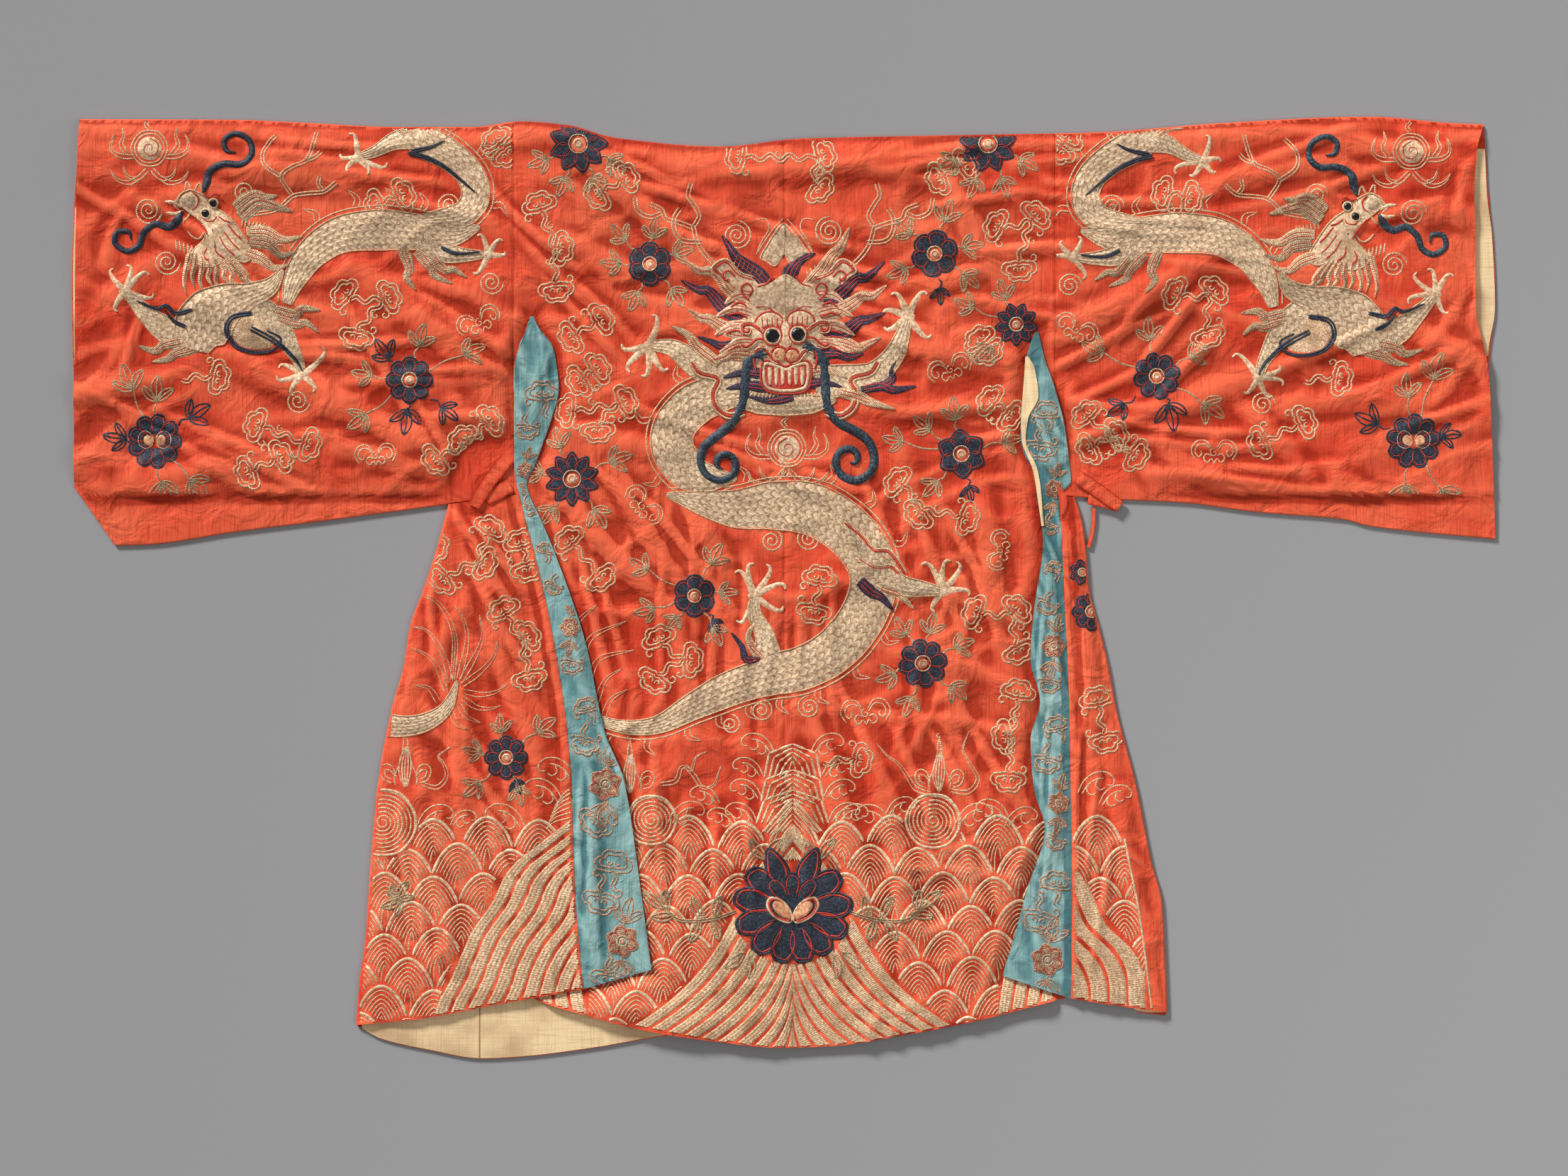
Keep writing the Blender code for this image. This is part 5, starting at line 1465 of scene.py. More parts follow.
BEARD = (
    ("gold", 22, (-38, 300), (-62, 302), (-78, 294), (-92, 290)),
    ("gold", 17, (-84, 286), (-110, 306), (-122, 322), (-143, 333)),
    ("plum", 15, (-20, 272), (-52, 274), (-78, 268)),
    ("plum", 16, (-18, 254), (-46, 258), (-74, 254)),
    ("plum", 15, (12, 243), (-18, 238), (-46, 244)),
    ("gold", 16, (28, 276), (54, 278), (80, 268)),
    ("plum", 14, (24, 258), (48, 262), (74, 256)),
    ("gold", 16, (70, 250), (94, 244), (112, 236), (141, 228)),
    ("plum", 18, (97, 9), (111, -5), (124, -12), (139, -28)),
)
flames(BACK, MANE, 1.0)
flames(BACK, BEARD, 2.1)
ANTLER = (
    [(80, 408), (96, 424), (106, 440), (112, 462)], [(101, 440), (124, 442), (134, 452), (136, 470), (128, 484)],
    [(110, 458), (126, 464), (146, 470), (152, 482), (168, 489)],
    [(111, 460), (104, 474), (112, 490), (118, 500), (114, 516)], [(150, 478), (166, 472), (182, 480), (186, 498)],
)
for flip, shift in ((-1, -4), (1, 4)):
    for part in (-2.2, 2.2):
        for line in ANTLER:
            bundle(BACK, through(placed(line, shift, flip=flip), 3), 2.8, 0.8, (part, "gold"))
WHISKERS = (
    [(-31, 299), (-42, 292), (-48, 276), (-50, 254), (-54, 232), (-67, 210), (-88, 192), (-103, 178), (-106, 158),
     (-97, 143), (-80, 137), (-65, 145), (-62, 160), (-72, 170), (-84, 166), (-86, 156), (-79, 152)],
    [(33, 308), (44, 299), (51, 282), (53, 252), (56, 230), (70, 211), (92, 199), (108, 186), (115, 165), (109, 146),
     (91, 137), (73, 144), (66, 160), (72, 174), (86, 177), (94, 168), (91, 159), (84, 160)],
)

sewn_so_far("mane, antlers")

# %% Its face
HORN = [
    (24, 382), (36, 396), (54, 402), (70, 418), (84, 414), (90, 404), (80, 396), (70, 386), (58, 372), (44, 364),
    (30, 368),
]
SKULL = [
    (0, 396), (-24, 390), (-42, 376), (-56, 366), (-50, 352), (-62, 342), (-50, 332), (-54, 318), (-42, 308),
    (-40, 294), (-34, 282), (-34, 264), (-24, 252), (2, 250), (28, 252), (38, 264), (38, 282), (44, 294), (46, 308),
    (56, 318), (52, 332), (64, 342), (52, 352), (58, 366), (44, 376), (26, 390),
]
FOREHEAD = [
    (2, 400), (-16, 390), (-34, 386), (-46, 370), (-42, 358), (-28, 352), (-14, 354), (-4, 346), (2, 344), (8, 346),
    (18, 354), (32, 352), (46, 358), (50, 370), (38, 386), (20, 390),
]
CREST = [
    (0, 464), (14, 450), (26, 434), (33, 422), (22, 416), (10, 411), (4, 420), (0, 427), (-5, 418), (-12, 410),
    (-22, 416), (-30, 421), (-22, 436), (-12, 452),
]
for flip, shift in ((1, 2), (-1, -2)):
    blob(BACK, "pale", placed(HORN, shift, flip=flip), 5, 1.3, 3.0)
    line = through(placed(HORN[1:8], shift, flip=flip), 2.4)
    bundle(BACK, line, 2.8, 2.1, (-3.6 * flip, "red"), (0.2 * flip, "gold"))
    for k in range(7):
        hair = [(30 + 5.4 * k, 396 + 2.4 * k), (26 + 5.2 * k, 405 + 3.2 * k)]
        drawn(BACK, "gold", hair, x=shift, flip=flip, width=2.4, high=1.2)
TUFTS = (
    ((34, 372), (58, 374), (76, 362)), ((38, 350), (64, 356), (86, 346)), ((40, 334), (66, 334), (88, 322)),
    ((36, 312), (58, 312), (82, 300)),
)
for flip, shift in ((1, 2), (-1, 0)):
    for tuft in TUFTS:
        tongue(BACK, "pale", placed(tuft, shift, flip=flip), 21, 3, 1.4)
blob(BACK, "pale", SKULL, 9, 1.9)
blob(BACK, "brow", FOREHEAD, 7, 2.5, 3.0, 1.4)
FACE_LINES = (
    [(44, 372), (38, 380), (44, 388), (52, 384), (50, 374), (42, 366)],
    [(60, 396), (68, 404), (76, 400), (74, 392), (68, 394)], [(46, 360), (56, 364), (66, 358)],
    [(44, 344), (56, 350), (70, 348)], [(48, 324), (60, 328), (72, 324)], [(44, 304), (56, 308), (70, 302)],
    [(12, 398), (20, 388), (32, 384)], [(8, 350), (20, 358), (34, 358)],
)
for flip, shift in ((1, 2), (-1, -2)):
    drawn(BACK, "red", *FACE_LINES, x=shift, flip=flip, width=2.6, high=2.9)
blob(BACK, "brow", CREST, 4, 1.1, 3.0)
rim(BACK, "pale", CREST, 2.2, 1.1)
drawn(BACK, "bronze", [(1, 462), (1, 444), (0, 428)], width=2.0, high=1.6)
drawn(BACK, "bronze", [(2, 398), (1, 372), (2, 346), (1, 318)], width=2.0, high=3.0)
CREST_CURLS = [(36, 426), (29, 442), (20, 458), (24, 470), (37, 469)], [(2, 471), (12, 460), (22, 447), (37, 424)]
for flip in (1, -1):
    drawn(BACK, "gold", *CREST_CURLS, flip=flip, x=1, width=2.3)
sewn_so_far("horns, skull and crest")

# %% Its eyes, nose and mouth
BROW_RIDGE = [(3, 344), (10, 352), (22, 354), (34, 348), (38, 338), (30, 333), (18, 336), (7, 334)]
TEMPLE = [(13, 4), (20, 10), (29, 15), (38, 13), (37, 6), (31, 5), (30, 10)]
CHEEK = [(12, -4), (20, -4), (27, -10), (34, -14), (40, -11)]
JOWL = [(10, -13), (17, -15), (22, -21), (24, -32), (21, -44)]
BESIDE_NOSE = [(-8, 13), (-11, 2), (-8, -10), (-13, -18)]
for x, y, radius in ((-14.5, 321, 8.8), (18.0, 323, 8.6)):
    flip = -1 if x < 0 else 1
    ridge_line = placed(BROW_RIDGE, 1, y - 323, flip=flip)
    blob(BACK, "pale", ridge_line, 4, 3.5, 2.6, 1.8)
    rim(BACK, "red", ridge_line, 2.4, 3.2)
    for k in range(4):
        furrow = [(9.5 + 6.2 * k, 335), (10 + 6.4 * k, 347)]
        drawn(BACK, "red", furrow, x=1, y=y - 323, flip=flip, width=2.6, high=4.2)
    rim(BACK, "red", circle(x, y, radius + 3.6), 2.4, 3.8, 2.0)
    rim(BACK, "pale", circle(x, y, radius + 1.2), 3.0, 4.2, 2.0)
    blob(BACK, "jet", circle(x, y, radius), 5, 4.8, 2.0, 3.4)
    place = dict(x=x, y=y, flip=flip)
    drawn(BACK, "red", TEMPLE, CHEEK, JOWL, width=3.0, high=3.6, **place)
    gold_lines = beside(np.array(TEMPLE, float), 3.0), beside(np.array(CHEEK, float), -3.0)
    drawn(BACK, "gold", *gold_lines, width=2.2, high=3.4, **place)
    drawn(BACK, "red", BESIDE_NOSE, width=2.4, high=3.8, **place)
blob(BACK, "pale", [(-4, 340), (8, 340), (7, 322), (14, 306), (-10, 306), (-3, 322)], 3, 3.4, 3.0, 1.8)
for x, y, radius, side in ((-6.0, 297, 9.8, -1), (10.0, 296, 8.6, 1)):
    blob(BACK, "rose", circle(x, y, radius), 5, 4.2, 2.5, 2.0)
    cord(BACK, "red", through(lobe((x, y), radius + 1.0, -40, 265), 2.2), 2.8, 3.9)
    cord(BACK, "red", through(scroll((x + 2 * side, y - 1), 4.4, 1.0, 90, 1), 1.8), 2.0, 4.8)
MOUTH = [
    (-25, 281), (-22, 286), (-8, 282), (2, 278), (12, 282), (26, 286), (31, 281), (30, 264), (24, 254), (2, 251),
    (-19, 254), (-25, 264),
]
blob(BACK, "red", MOUTH, 5, 2.8, 3.0, 1.8)
rim(BACK, "pale", MOUTH, 4.0, 3.6)
bundle(BACK, through(MOUTH, 2.4, closed=True), 3.2, 3.2, (4.0, "red"))
TOOTH = np.array([[(0, 281), (0, 272), (0.4, 264), (1.6, 259)], [(5.6, 281), (5.6, 272), (5.2, 264), (4.0, 259)]])
for k in range(6):
    left, right = TOOTH + (-20.5 + 8.0 * k + (1.0 if k > 2 else 0), 0)
    filled(BACK, "pale", left, right, 3, 3.9, on=2.8)
LIP = [(8, 288), (16, 291), (23, 300), (31, 304), (38, 300)]
for flip in (1, -1):
    line = through(placed(LIP, 2, flip=flip), 2.4)
    bundle(BACK, line, 2.9, 3.8, (0.0, "red"), (2.8 * flip, "gold"), (-2.8 * flip, "gold"))
for k in range(19):
    at = -44 + 5.1 * k
    drawn(BACK, "pale", [(at * 0.9 + 0.4, 249), (at, 241 + 1.5 * math.cos(k)), (at * 1.05, 232)], width=2.6, high=2.0)
for line in WHISKERS:
    cord(BACK, "slate", through(line, 3.0), 16.0, 3.6, on=0,
         shape=lambda t: np.interp(t, (0, 0.06, 0.3, 1), (0.8, 1.1, 0.85, 0.6)))
    root, way = np.array(line[0], float), 1 if line[0][0] > 0 else -1
    for x, y in ((-7, 6), (-10, -2), (-4, -9)):
        hook = [root + (way * 8, -4), root + (way * x * 0.4, y * 0.5), root + (way * x, y)]
        cord(BACK, "slate", through(hook, 2), 6.0, 4.2)
sewn_so_far("the face")

# %% The pearl that it guards
LICKS = (
    [(0.9, -0.5), (1.7, -0.45), (2.2, -0.1), (2.2, 0.45), (2.0, 0.85)],
    [(1.3, -0.35), (1.65, 0.2), (1.5, 0.7), (1.6, 1.25)], [(0.1, -1.2), (0.7, -1.75), (1.3, -1.6), (1.55, -1.0)],
    [(0.6, -1.7), (1.2, -2.0), (1.9, -1.8), (2.3, -1.25)],
)
TOP_LICK = [(0.0, 1.1), (-0.25, 1.45), (0.0, 1.7), (-0.1, 2.1)]


def pearl(ground, x, y, radius, flip=1):
    """A pearl with two rings, and licks of flame round it in parts of its radius."""
    blob(ground, "pale", circle(x, y, radius * 0.74), 4, 1.1, 3)
    cord(ground, "red", through(scroll((x, y), radius * 0.6, 1.7, 90, flip), 2.0), 2.0, 1.8)
    for part in (0.86, 1.06):
        rim(ground, "gold", circle(x, y, radius * part), 2.8, 0.8)
    for side in (1, -1):
        for lick in LICKS:
            plume(ground, "gold", placed(lick, x, y, 0, radius, side * flip), 9.5, 2)
    plume(ground, "gold", placed(TOP_LICK, x, y, 0, radius), 8, 2, laid=2.5)


pearl(BACK, 4, 178, 23)
for x, y, radius in ((-60, 449, 19), (58, 454, 19), (-16, 60, 15), (32, 62, 16), (-29, -156, 15), (32, -152, 15),
                     (-68, -174, 13)):
    spiral(BACK, x, y, radius, radius / 6.0, flip=-1 if x < 0 else 1)
sewn_so_far("pearl and spirals")

# %% [markdown]
# ## The sleeve dragons
# Each sleeve has a dragon in profile that chases its own pearl towards the cuff. The pair are mirror images, give or
# take a few millimetres of handwork, so one drawing made for the right sleeve serves both.

# %% Its parts, as they lie on the right sleeve
SIDE_BODY = (
    # a kind of scales, how high, which side has the spines and how far apart, widths, points
    ("scales", 1.0, -1, 40, (12, 32, 42, 48, 52, 46, 34, 5),
     (624, 358), (614, 390), (592, 423), (556, 446), (509, 452), (461, 450), (413, 446), (378, 456)),
    ("scales", 1.0, 1, 44, (5, 17, 30, 36, 36, 38, 42, 48),
     (482, 466), (440, 465), (400, 472), (384, 495), (391, 523), (416, 547), (450, 567), (466, 590)),
    ("fine_scales", 1.2, 0, 0, (30, 40, 32, 19, 10), (690, 352), (660, 348), (634, 326), (612, 290), (606, 272)),
    ("fine_scales", 1.0, 0, 0, (30, 38, 30, 20, 10), (730, 312), (752, 316), (780, 326), (808, 350), (828, 372)),
    ("scales", 1.8, 0, 0, (5, 22, 30, 50, 70, 72, 40),
     (630, 402), (646, 380), (672, 369), (700, 358), (722, 342), (738, 320), (744, 300)),
    ("fine_scales", 1.0, 0, 0, (34, 28, 18, 9), (452, 444), (424, 424), (394, 420), (374, 421)),
    ("fine_scales", 1.0, 0, 0, (34, 26, 16, 9), (448, 572), (486, 566), (512, 552), (530, 546)),
)
SIDE_PAWS = (
    # the palm, then the tips of the claws
    ((604, 268), (576, 298), (588, 248), (619, 243), (636, 262), (632, 280)),
    ((830, 374), (795, 367), (803, 398), (824, 406), (849, 400), (843, 350)),
    ((368, 421), (378, 446), (352, 440), (346, 422), (384, 396)),
    ((534, 544), (541, 575), (556, 546), (548, 529), (519, 525), (498, 533)),
)
SIDE_SPIRALS = (
    # place and radius
    (678, 501, 15), (801, 477, 18), (777, 411, 17), (417, 485, 17), (364, 385, 16), (610, 234, 16), (424, 578, 15),
)
SIDE_THIGH = [(664, 348), (690, 342), (698, 324), (687, 306), (664, 299), (642, 303), (640, 318), (652, 330)]
SIDE_MARKS = (
    # a width, how many cords, and points
    (7, 2, (744, 350), (766, 346), (778, 356), (790, 352), (816, 362)),
    (7, 2, (752, 328), (768, 336), (780, 350)),
    (8, 2, (668, 346), (693, 341), (701, 324), (689, 304), (664, 296), (640, 300), (632, 314), (650, 324)),
    (9, 3, (670, 327), (636, 308), (614, 288), (604, 272)),
    (7, 2, (470, 550), (446, 544), (420, 530), (384, 500)),
    (7, 2, (466, 552), (440, 558), (424, 566)),
    (6, 2, (428, 430), (408, 422), (378, 424)),
)
SIDE_FLAMES = (
    ("bronze", 24, (684, 468), (662, 486), (646, 484), (618, 476)),
    ("bronze", 20, (690, 480), (668, 496), (652, 494), (636, 496)),
    ("gold", 18, (676, 450), (652, 450), (630, 440), (605, 444)),
    ("bronze", 18, (672, 438), (648, 434), (632, 420), (612, 424)),
    ("gold", 17, (680, 424), (658, 416), (642, 404), (622, 408)),
    ("bronze", 18, (640, 350), (616, 344), (604, 352), (582, 350)),
    ("bronze", 16, (636, 340), (612, 332), (600, 334), (584, 322)),
    ("bronze", 18, (736, 304), (764, 296), (776, 288), (796, 284)),
    ("bronze", 18, (752, 312), (780, 306), (792, 298), (814, 304)),
    ("bronze", 16, (478, 430), (468, 404), (472, 392), (460, 376)),
    ("bronze", 16, (460, 426), (440, 404), (436, 394), (414, 384)),
    ("bronze", 14, (440, 420), (424, 402), (412, 402), (396, 392)),
    ("gold", 12, (474, 576), (490, 586), (508, 586)),
)
SIDE_FACE = [
    (764, 486), (760, 497), (748, 503), (736, 499), (726, 492), (714, 480), (702, 472), (692, 462), (682, 448),
    (672, 432), (668, 418), (678, 411), (692, 414), (706, 411), (720, 405), (736, 408), (746, 418), (740, 430),
    (730, 440), (727, 450), (732, 460), (738, 470), (744, 480), (754, 481),
]
SIDE_FACE_LINES = (
    [(744, 500), (737, 493), (739, 483), (746, 478)], [(742, 470), (736, 462), (728, 452), (724, 444)],
    [(700, 460), (690, 447), (682, 440)], [(704, 450), (694, 436), (684, 426)], [(710, 444), (702, 430), (690, 419)],
    [(716, 436), (714, 424), (704, 416)], [(726, 430), (730, 420), (724, 412)], [(712, 470), (704, 464), (696, 462)],
    [(730, 496), (722, 494), (716, 498), (708, 494)], [(734, 474), (728, 464), (718, 464), (714, 470)],
)
SIDE_JAW = (
    [(752, 451), (744, 443), (736, 441), (728, 450)], [(756, 463), (750, 470), (746, 479)],
    [(754, 502), (752, 514), (746, 504)], [(742, 502), (736, 512), (732, 500)], [(764, 492), (768, 484), (762, 478)],
)
SIDE_TONGUE = ([(760, 481), (768, 487), (780, 488)], [(757, 477), (766, 473), (778, 474)])
SIDE_WHISKERS = (
    [(730, 500), (726, 514), (722, 527), (704, 536), (682, 536), (669, 549), (673, 567), (690, 575), (704, 567),
     (701, 553), (690, 551)],
    [(758, 477), (764, 464), (776, 456), (792, 460), (807, 448), (813, 432), (828, 425), (843, 435), (840, 449),
     (826, 450), (823, 440)],
)
SIDE_ANTLERS = (
    [(668, 472), (638, 478), (617, 495), (596, 499), (577, 501), (561, 513)], [(577, 501), (584, 510), (582, 521)],
    [(617, 495), (631, 519), (618, 532), (600, 540), (592, 556), (586, 578)], [(600, 540), (588, 545), (580, 553)],
    [(631, 519), (651, 533), (655, 548), (648, 562), (637, 573)],
)
print("flames and marks in its tables:", len(SIDE_FLAMES) + len(SIDE_MARKS))


# %% One dragon in profile, for either sleeve
def side_dragon(ground, flip, dx, dy):
    def at(*points):
        return placed(points, dx, dy, flip=flip)

    for thread, high, fin, gap, widths, *points in SIDE_BODY:
        scaled(ground, at(*points), widths, thread, fin * flip, gap, high)
    for palm, *tips in SIDE_PAWS:
        paw(ground, *at(palm)[0], at(*tips), 1.05)
    blob(ground, "gold", at(*SIDE_THIGH), 5, 1.5, 3.0)
    for width, lines, *points in SIDE_MARKS:
        plume(ground, "navy", at(*points), width, lines, laid=3.4, high=2.5)
    for thread, width, *points in SIDE_FLAMES:
        tongue(ground, thread, at(*points), width * 1.1, 2, 1.3, red=2.1)
    for k in range(9):
        root, tip = (746 - 6.5 * k, 428 - 1.4 * k), (752 - 11.5 * k, 369 + 1.0 * k + 6 * (k % 2))
        bend = (mix(root[0], tip[0], 0.7) + 5, mix(root[1], tip[1], 0.7))
        line = through(at(root, (root[0] + 5 - 3 * k, 410 - 2 * k), bend, tip), 3.0)
        cord(ground, "bronze" if k % 3 == 1 else "gold", line, 10.5, 1.5, on=0,
             shape=lambda part: 1 - 0.75 * part ** 1.6)
        cord(ground, "red", line[2:-5], 1.9, 2.0)
    for k in range(7):
        drawn(ground, "gold", at((764 - 5 * k, 426 - 1.2 * k), (766 - 5 * k, 440 - 1.6 * k)), width=2.6, high=1.2)
        drawn(ground, "gold", at((682 - 4.6 * k, 456 - 0.6 * k), (680 - 4.6 * k, 466 - 0.8 * k)), width=2.4, high=1.2)
    blob(ground, "pale", at(*SIDE_FACE), 8, 1.8, 3.0)
    rim(ground, "gold", at(*SIDE_FACE), 2.4, 1.5)
    blob(ground, "brow", at(*circle(750, 490, 9)), 4, 3.0, 2.5, 1.5)
    for line in SIDE_FACE_LINES:
        drawn(ground, "red", at(*line), width=2.8, high=2.6)
    for x, y, radius in ((718, 486, 4.6), (728, 473, 4.9)):
        rim(ground, "pale", at(*circle(x, y, radius + 1.0)), 2.6, 3.2, 1.8)
        blob(ground, "jet", at(*circle(x, y, radius)), 4, 3.8, 1.4, 2.4)
    for line in SIDE_JAW:
        drawn(ground, "gold", at(*line), width=2.8, high=1.2)
    for line in SIDE_TONGUE:
        drawn(ground, "pale", at(*line), width=4.4, high=1.4)
    for line in SIDE_WHISKERS:
        cord(ground, "navy" if flip < 0 else "slate", through(at(*line), 2.6), 13.0, 2.4,
             shape=lambda t: np.interp(t, (0, 0.25, 1), (1.0, 0.75, 0.55)), on=0)
    for line in SIDE_ANTLERS:
        bundle(ground, through(at(*line), 2.8), 2.7, 0.8, (-1.9, "gold"), (1.9, "gold"))
    pearl(ground, *at((799, 556))[0], 22, flip)
    for x, y, radius in SIDE_SPIRALS:
        spiral(ground, *at((x, y))[0], radius, radius / 6.2, flip=flip, start=0)
    sewn_so_far(ground)


side_dragon("sleeve_right", 1, 0, 0)
side_dragon("sleeve_left", -1, -9, 4)

# %% [markdown]
# ## Clouds, bats and flowers between
# Small signs fill the ground evenly. Each list gives where its signs are, and a chain of places is one run of cloud
# heads joined by their wavy tails.

# %% Clouds and bats
CLOUDS = {
    "back": (
        [(-60, 550), (52, 552), (47, 508)], [(-312, 490), (-282, 432), (-290, 378)], [(-232, 343), (-272, 318)],
        [(-277, 226), (-201, 238), (-237, 199)], [(270, 462), (322, 476), (300, 405)], [(262, 240), (290, 218)],
        [(144, 136), (170, 92), (234, 88)], [(-275, 62), (-232, 12)], [(-160, -63), (-117, -92), (-166, -119)],
        [(46, 14), (38, -32)], [(242, -30), (298, -26), (300, -82)], [(299, -131), (279, -190), (286, -246)],
        [(-200, 524), (-238, 500)], [(232, 540), (196, 520)], [(98, -220)], [(-262, 262), (-236, 280)],
        [(248, 318), (262, 300)],
    ),
    "sleeve_left": (
        [(-519, 486), (-484, 501)], [(-561, 375), (-502, 371), (-545, 318)], [(-673, 208), (-604, 182)],
        [(-640, 168), (-684, 146)], [(-445, 162), (-411, 190), (-373, 214)], [(-720, 268)],
        [(-368, 572), (-352, 552)],
    ),
    "sleeve_right": (
        [(483, 503), (519, 496)], [(497, 376), (549, 380), (541, 320)], [(664, 212), (606, 184)],
        [(388, 176), (424, 196), (450, 168), (384, 222)], [(710, 266)], [(362, 575), (350, 556)],
    ),
    "side_left": (
        [(-373, 76), (-380, 30), (-437, 10)], [(-358, -27), (-326, -60), (-324, -117)], [(-336, 60), (-326, 22)],
        [(-442, 52)],
    ),
    "side_right": ([(398, -140), (410, -196)],),
}
for ground, chains in CLOUDS.items():
    for chain in chains:
        heads = []
        for x, y in chain:
            others = [p for p in chain if p != (x, y)]
            away = np.array((x, y)) - (np.mean(others, 0) if others else (x - 30, y + 6))
            heads.append((x, y, math.degrees(math.atan2(away[1], away[0])) - 90, 1.24))
        clouds(ground, *heads)
BATS = (
    ("back", 212, 278, 20, 1.1), ("back", -180, 104, -48, 1.1), ("back", 276, 48, 80, 1.0),
    ("back", 104, -160, 4, 1.2), ("sleeve_left", -388, 338, 25, 1.1), ("sleeve_right", 372, 328, -25, 1.1),
    ("sleeve_right", 548, 172, 0, 1.1), ("sleeve_left", -520, 168, 4, 1.0),
)
for ground, x, y, turn, size in BATS:
    bat(ground, x, y, turn, 1.1 * size)
sewn_so_far("clouds and bats")

# %% Flowers
FLOWERS = (
    # ground, x, y, radius, petals, turn, sprigs as (direction, reach, size), then what it has of its own
    ("back", -171, 413, 27, 6, 90, ((134, 18, 1), (82, 8, 1), (18, 8, 1), (178, 12, 1), (246, 14, 1), (308, 18, 1))),
    ("back", 192, 426, 29, 6, 80, ((72, 16, 1.1), (140, 12, 1), (10, 10, 1), (206, 14, 1), (322, 18, 1))),
    ("back", -270, 139, 34, 10, 18, ((108, 12, 1), (22, 22, 1.1), (-56, 16, 1.1), (236, 12, 1), (168, 8, 1)), True),
    ("back", 226, 171, 31, 6, 95, ((98, 16, 1.1), (142, 22, 1), (168, 48, 1), (228, 18, 1), (14, 26, 1)), True),
    ("back", -114, -10, 26, 6, 90,
     ((62, 22, 1.1), (150, 44, 1), (196, 30, 1), (230, 10, 0.8), (4, 8, 0.9), (-62, 22, 1))),
    ("back", 177, -96, 30, 8, 10, ((76, 12, 1), (120, 14, 1), (24, 18, 1), (-40, 18, 1), (250, 18, 1), (200, 10, 1))),
    ("back", -262, 566, 37, 9, 0, ((248, 12, 1), (292, 12, 1), (204, 10, 1), (330, 10, 1)), True),
    ("back", 260, 566, 36, 9, 12, ((250, 14, 1), (290, 14, 1), (206, 12, 1), (332, 12, 1)), True),
    ("back", 296, 336, 27, 9, 30, ((158, 34, 1), (110, 10, 1), (222, 18, 1)), True),
    ("sleeve_left", -477, 265, 29, 8, 0, ((74, 18, 1.1), (24, 50, 1.1), (218, 44, 1.1), (172, 22, 1))),
    ("sleeve_right", 475, 270, 29, 8, 12, ((98, 20, 1.1), (156, 48, 1.1), (-32, 42, 1.2), (28, 22, 1))),
    ("sleeve_left", -802, 187, 34, 9, 0,
     ((112, 40, 1.3), (86, 20, 1.2), (-80, 22, 1.2), (-48, 36, 1.2)), False, "pistils"),
    ("sleeve_right", 802, 187, 34, 9, 8,
     ((72, 52, 1.3), (96, 26, 1.1), (-100, 26, 1.2), (-60, 40, 1.2)), False, "pistils"),
    ("side_left", -354, -216, 27, 8, 90, ((38, 26, 1.1), (98, 8, 0.9), (168, 8, 0.9), (222, 22, 1), (-72, 16, 0.9))),
    ("side_right", 392, -30, 24, 8, 0, ()),
    ("side_right", 380, 20, 16, 7, 0, (), True),
)
NAVY_SPRIGS = (
    ("sleeve_left", -499, 290, 128, 4, 1.1), ("sleeve_left", -452, 240, -36, 18, 1.0),
    ("sleeve_left", -480, 236, -96, 8, 1.2), ("sleeve_right", 448, 246, 216, 18, 1.0),
    ("sleeve_right", 486, 242, -76, 8, 1.3), ("back", 196, 394, -84, 12, 0.8),
    ("sleeve_left", -772, 206, 34, 16, 1.2), ("sleeve_left", -832, 190, 172, 6, 1.1),
    ("sleeve_right", 772, 204, 158, 16, 1.2), ("sleeve_right", 832, 192, 6, 4, 1.0),
    ("back", 232, 140, -78, 10, 0.8), ("back", -96, -34, -60, 8, 0.7), ("side_left", -346, -242, -64, 4, 0.7),
)
for row in FLOWERS:
    flower(*row)
for ground, x, y, turn, reach, size in NAVY_SPRIGS:
    sprig(ground, x, y, turn, reach, "navy", size)
sewn_so_far("flowers")

# %% The tail on the left side panel, and its plumes
scaled("side_left", [(-520, -174), (-480, -176), (-450, -168), (-428, -150), (-416, -118)], (30, 26, 22, 15, 3))
TAIL_PLUMES = (
    [(-422, -118), (-420, -60), (-440, -20), (-472, -8), (-500, -14)],
    [(-424, -120), (-436, -80), (-456, -54), (-476, -50)], [(-430, -132), (-442, -100), (-458, -84), (-476, -76)],
    [(-440, -146), (-452, -128), (-470, -124)], [(-414, -116), (-404, -70), (-408, -40), (-420, -22)],
    [(-411, -118), (-392, -84), (-384, -60), (-388, -34)], [(-410, -124), (-386, -106), (-370, -88), (-364, -66)],
    [(-408, -132), (-386, -136), (-366, -132), (-352, -122)],
    [(-410, -140), (-392, -152), (-376, -154), (-360, -150)], [(-414, -148), (-404, -164), (-386, -172)],
    [(-424, -158), (-416, -174), (-402, -180)],
)
for points in TAIL_PLUMES:
    plume("side_left", "gold", points, 10, 2 if len(points) < 5 else 3, laid=2.0)
BACK_PLUMES = (
    [(-272, -60), (-262, -42), (-238, -21)], [(-258, -92), (-244, -62), (-200, -42)],
    [(-250, -120), (-234, -90), (-190, -79)], [(-240, -148), (-228, -118), (-206, -102)],
    [(-232, -168), (-220, -142), (-199, -129)],
)
for points in BACK_PLUMES:
    plume("back", "gold", points, 10, 2, laid=2.0)
sewn_so_far("tail and plumes")

# %% [markdown]
# ## The sea at the hem
# Waves stand for the sea, and the slanting stripes under them for deep water. A wave is a set of arcs one in another,
# and each row of them hides the feet of the row above. An arc keeps only the points that no nearer wave covers, so
# nothing overlaps. The stripes are bands between two edges that fan out towards the hem.

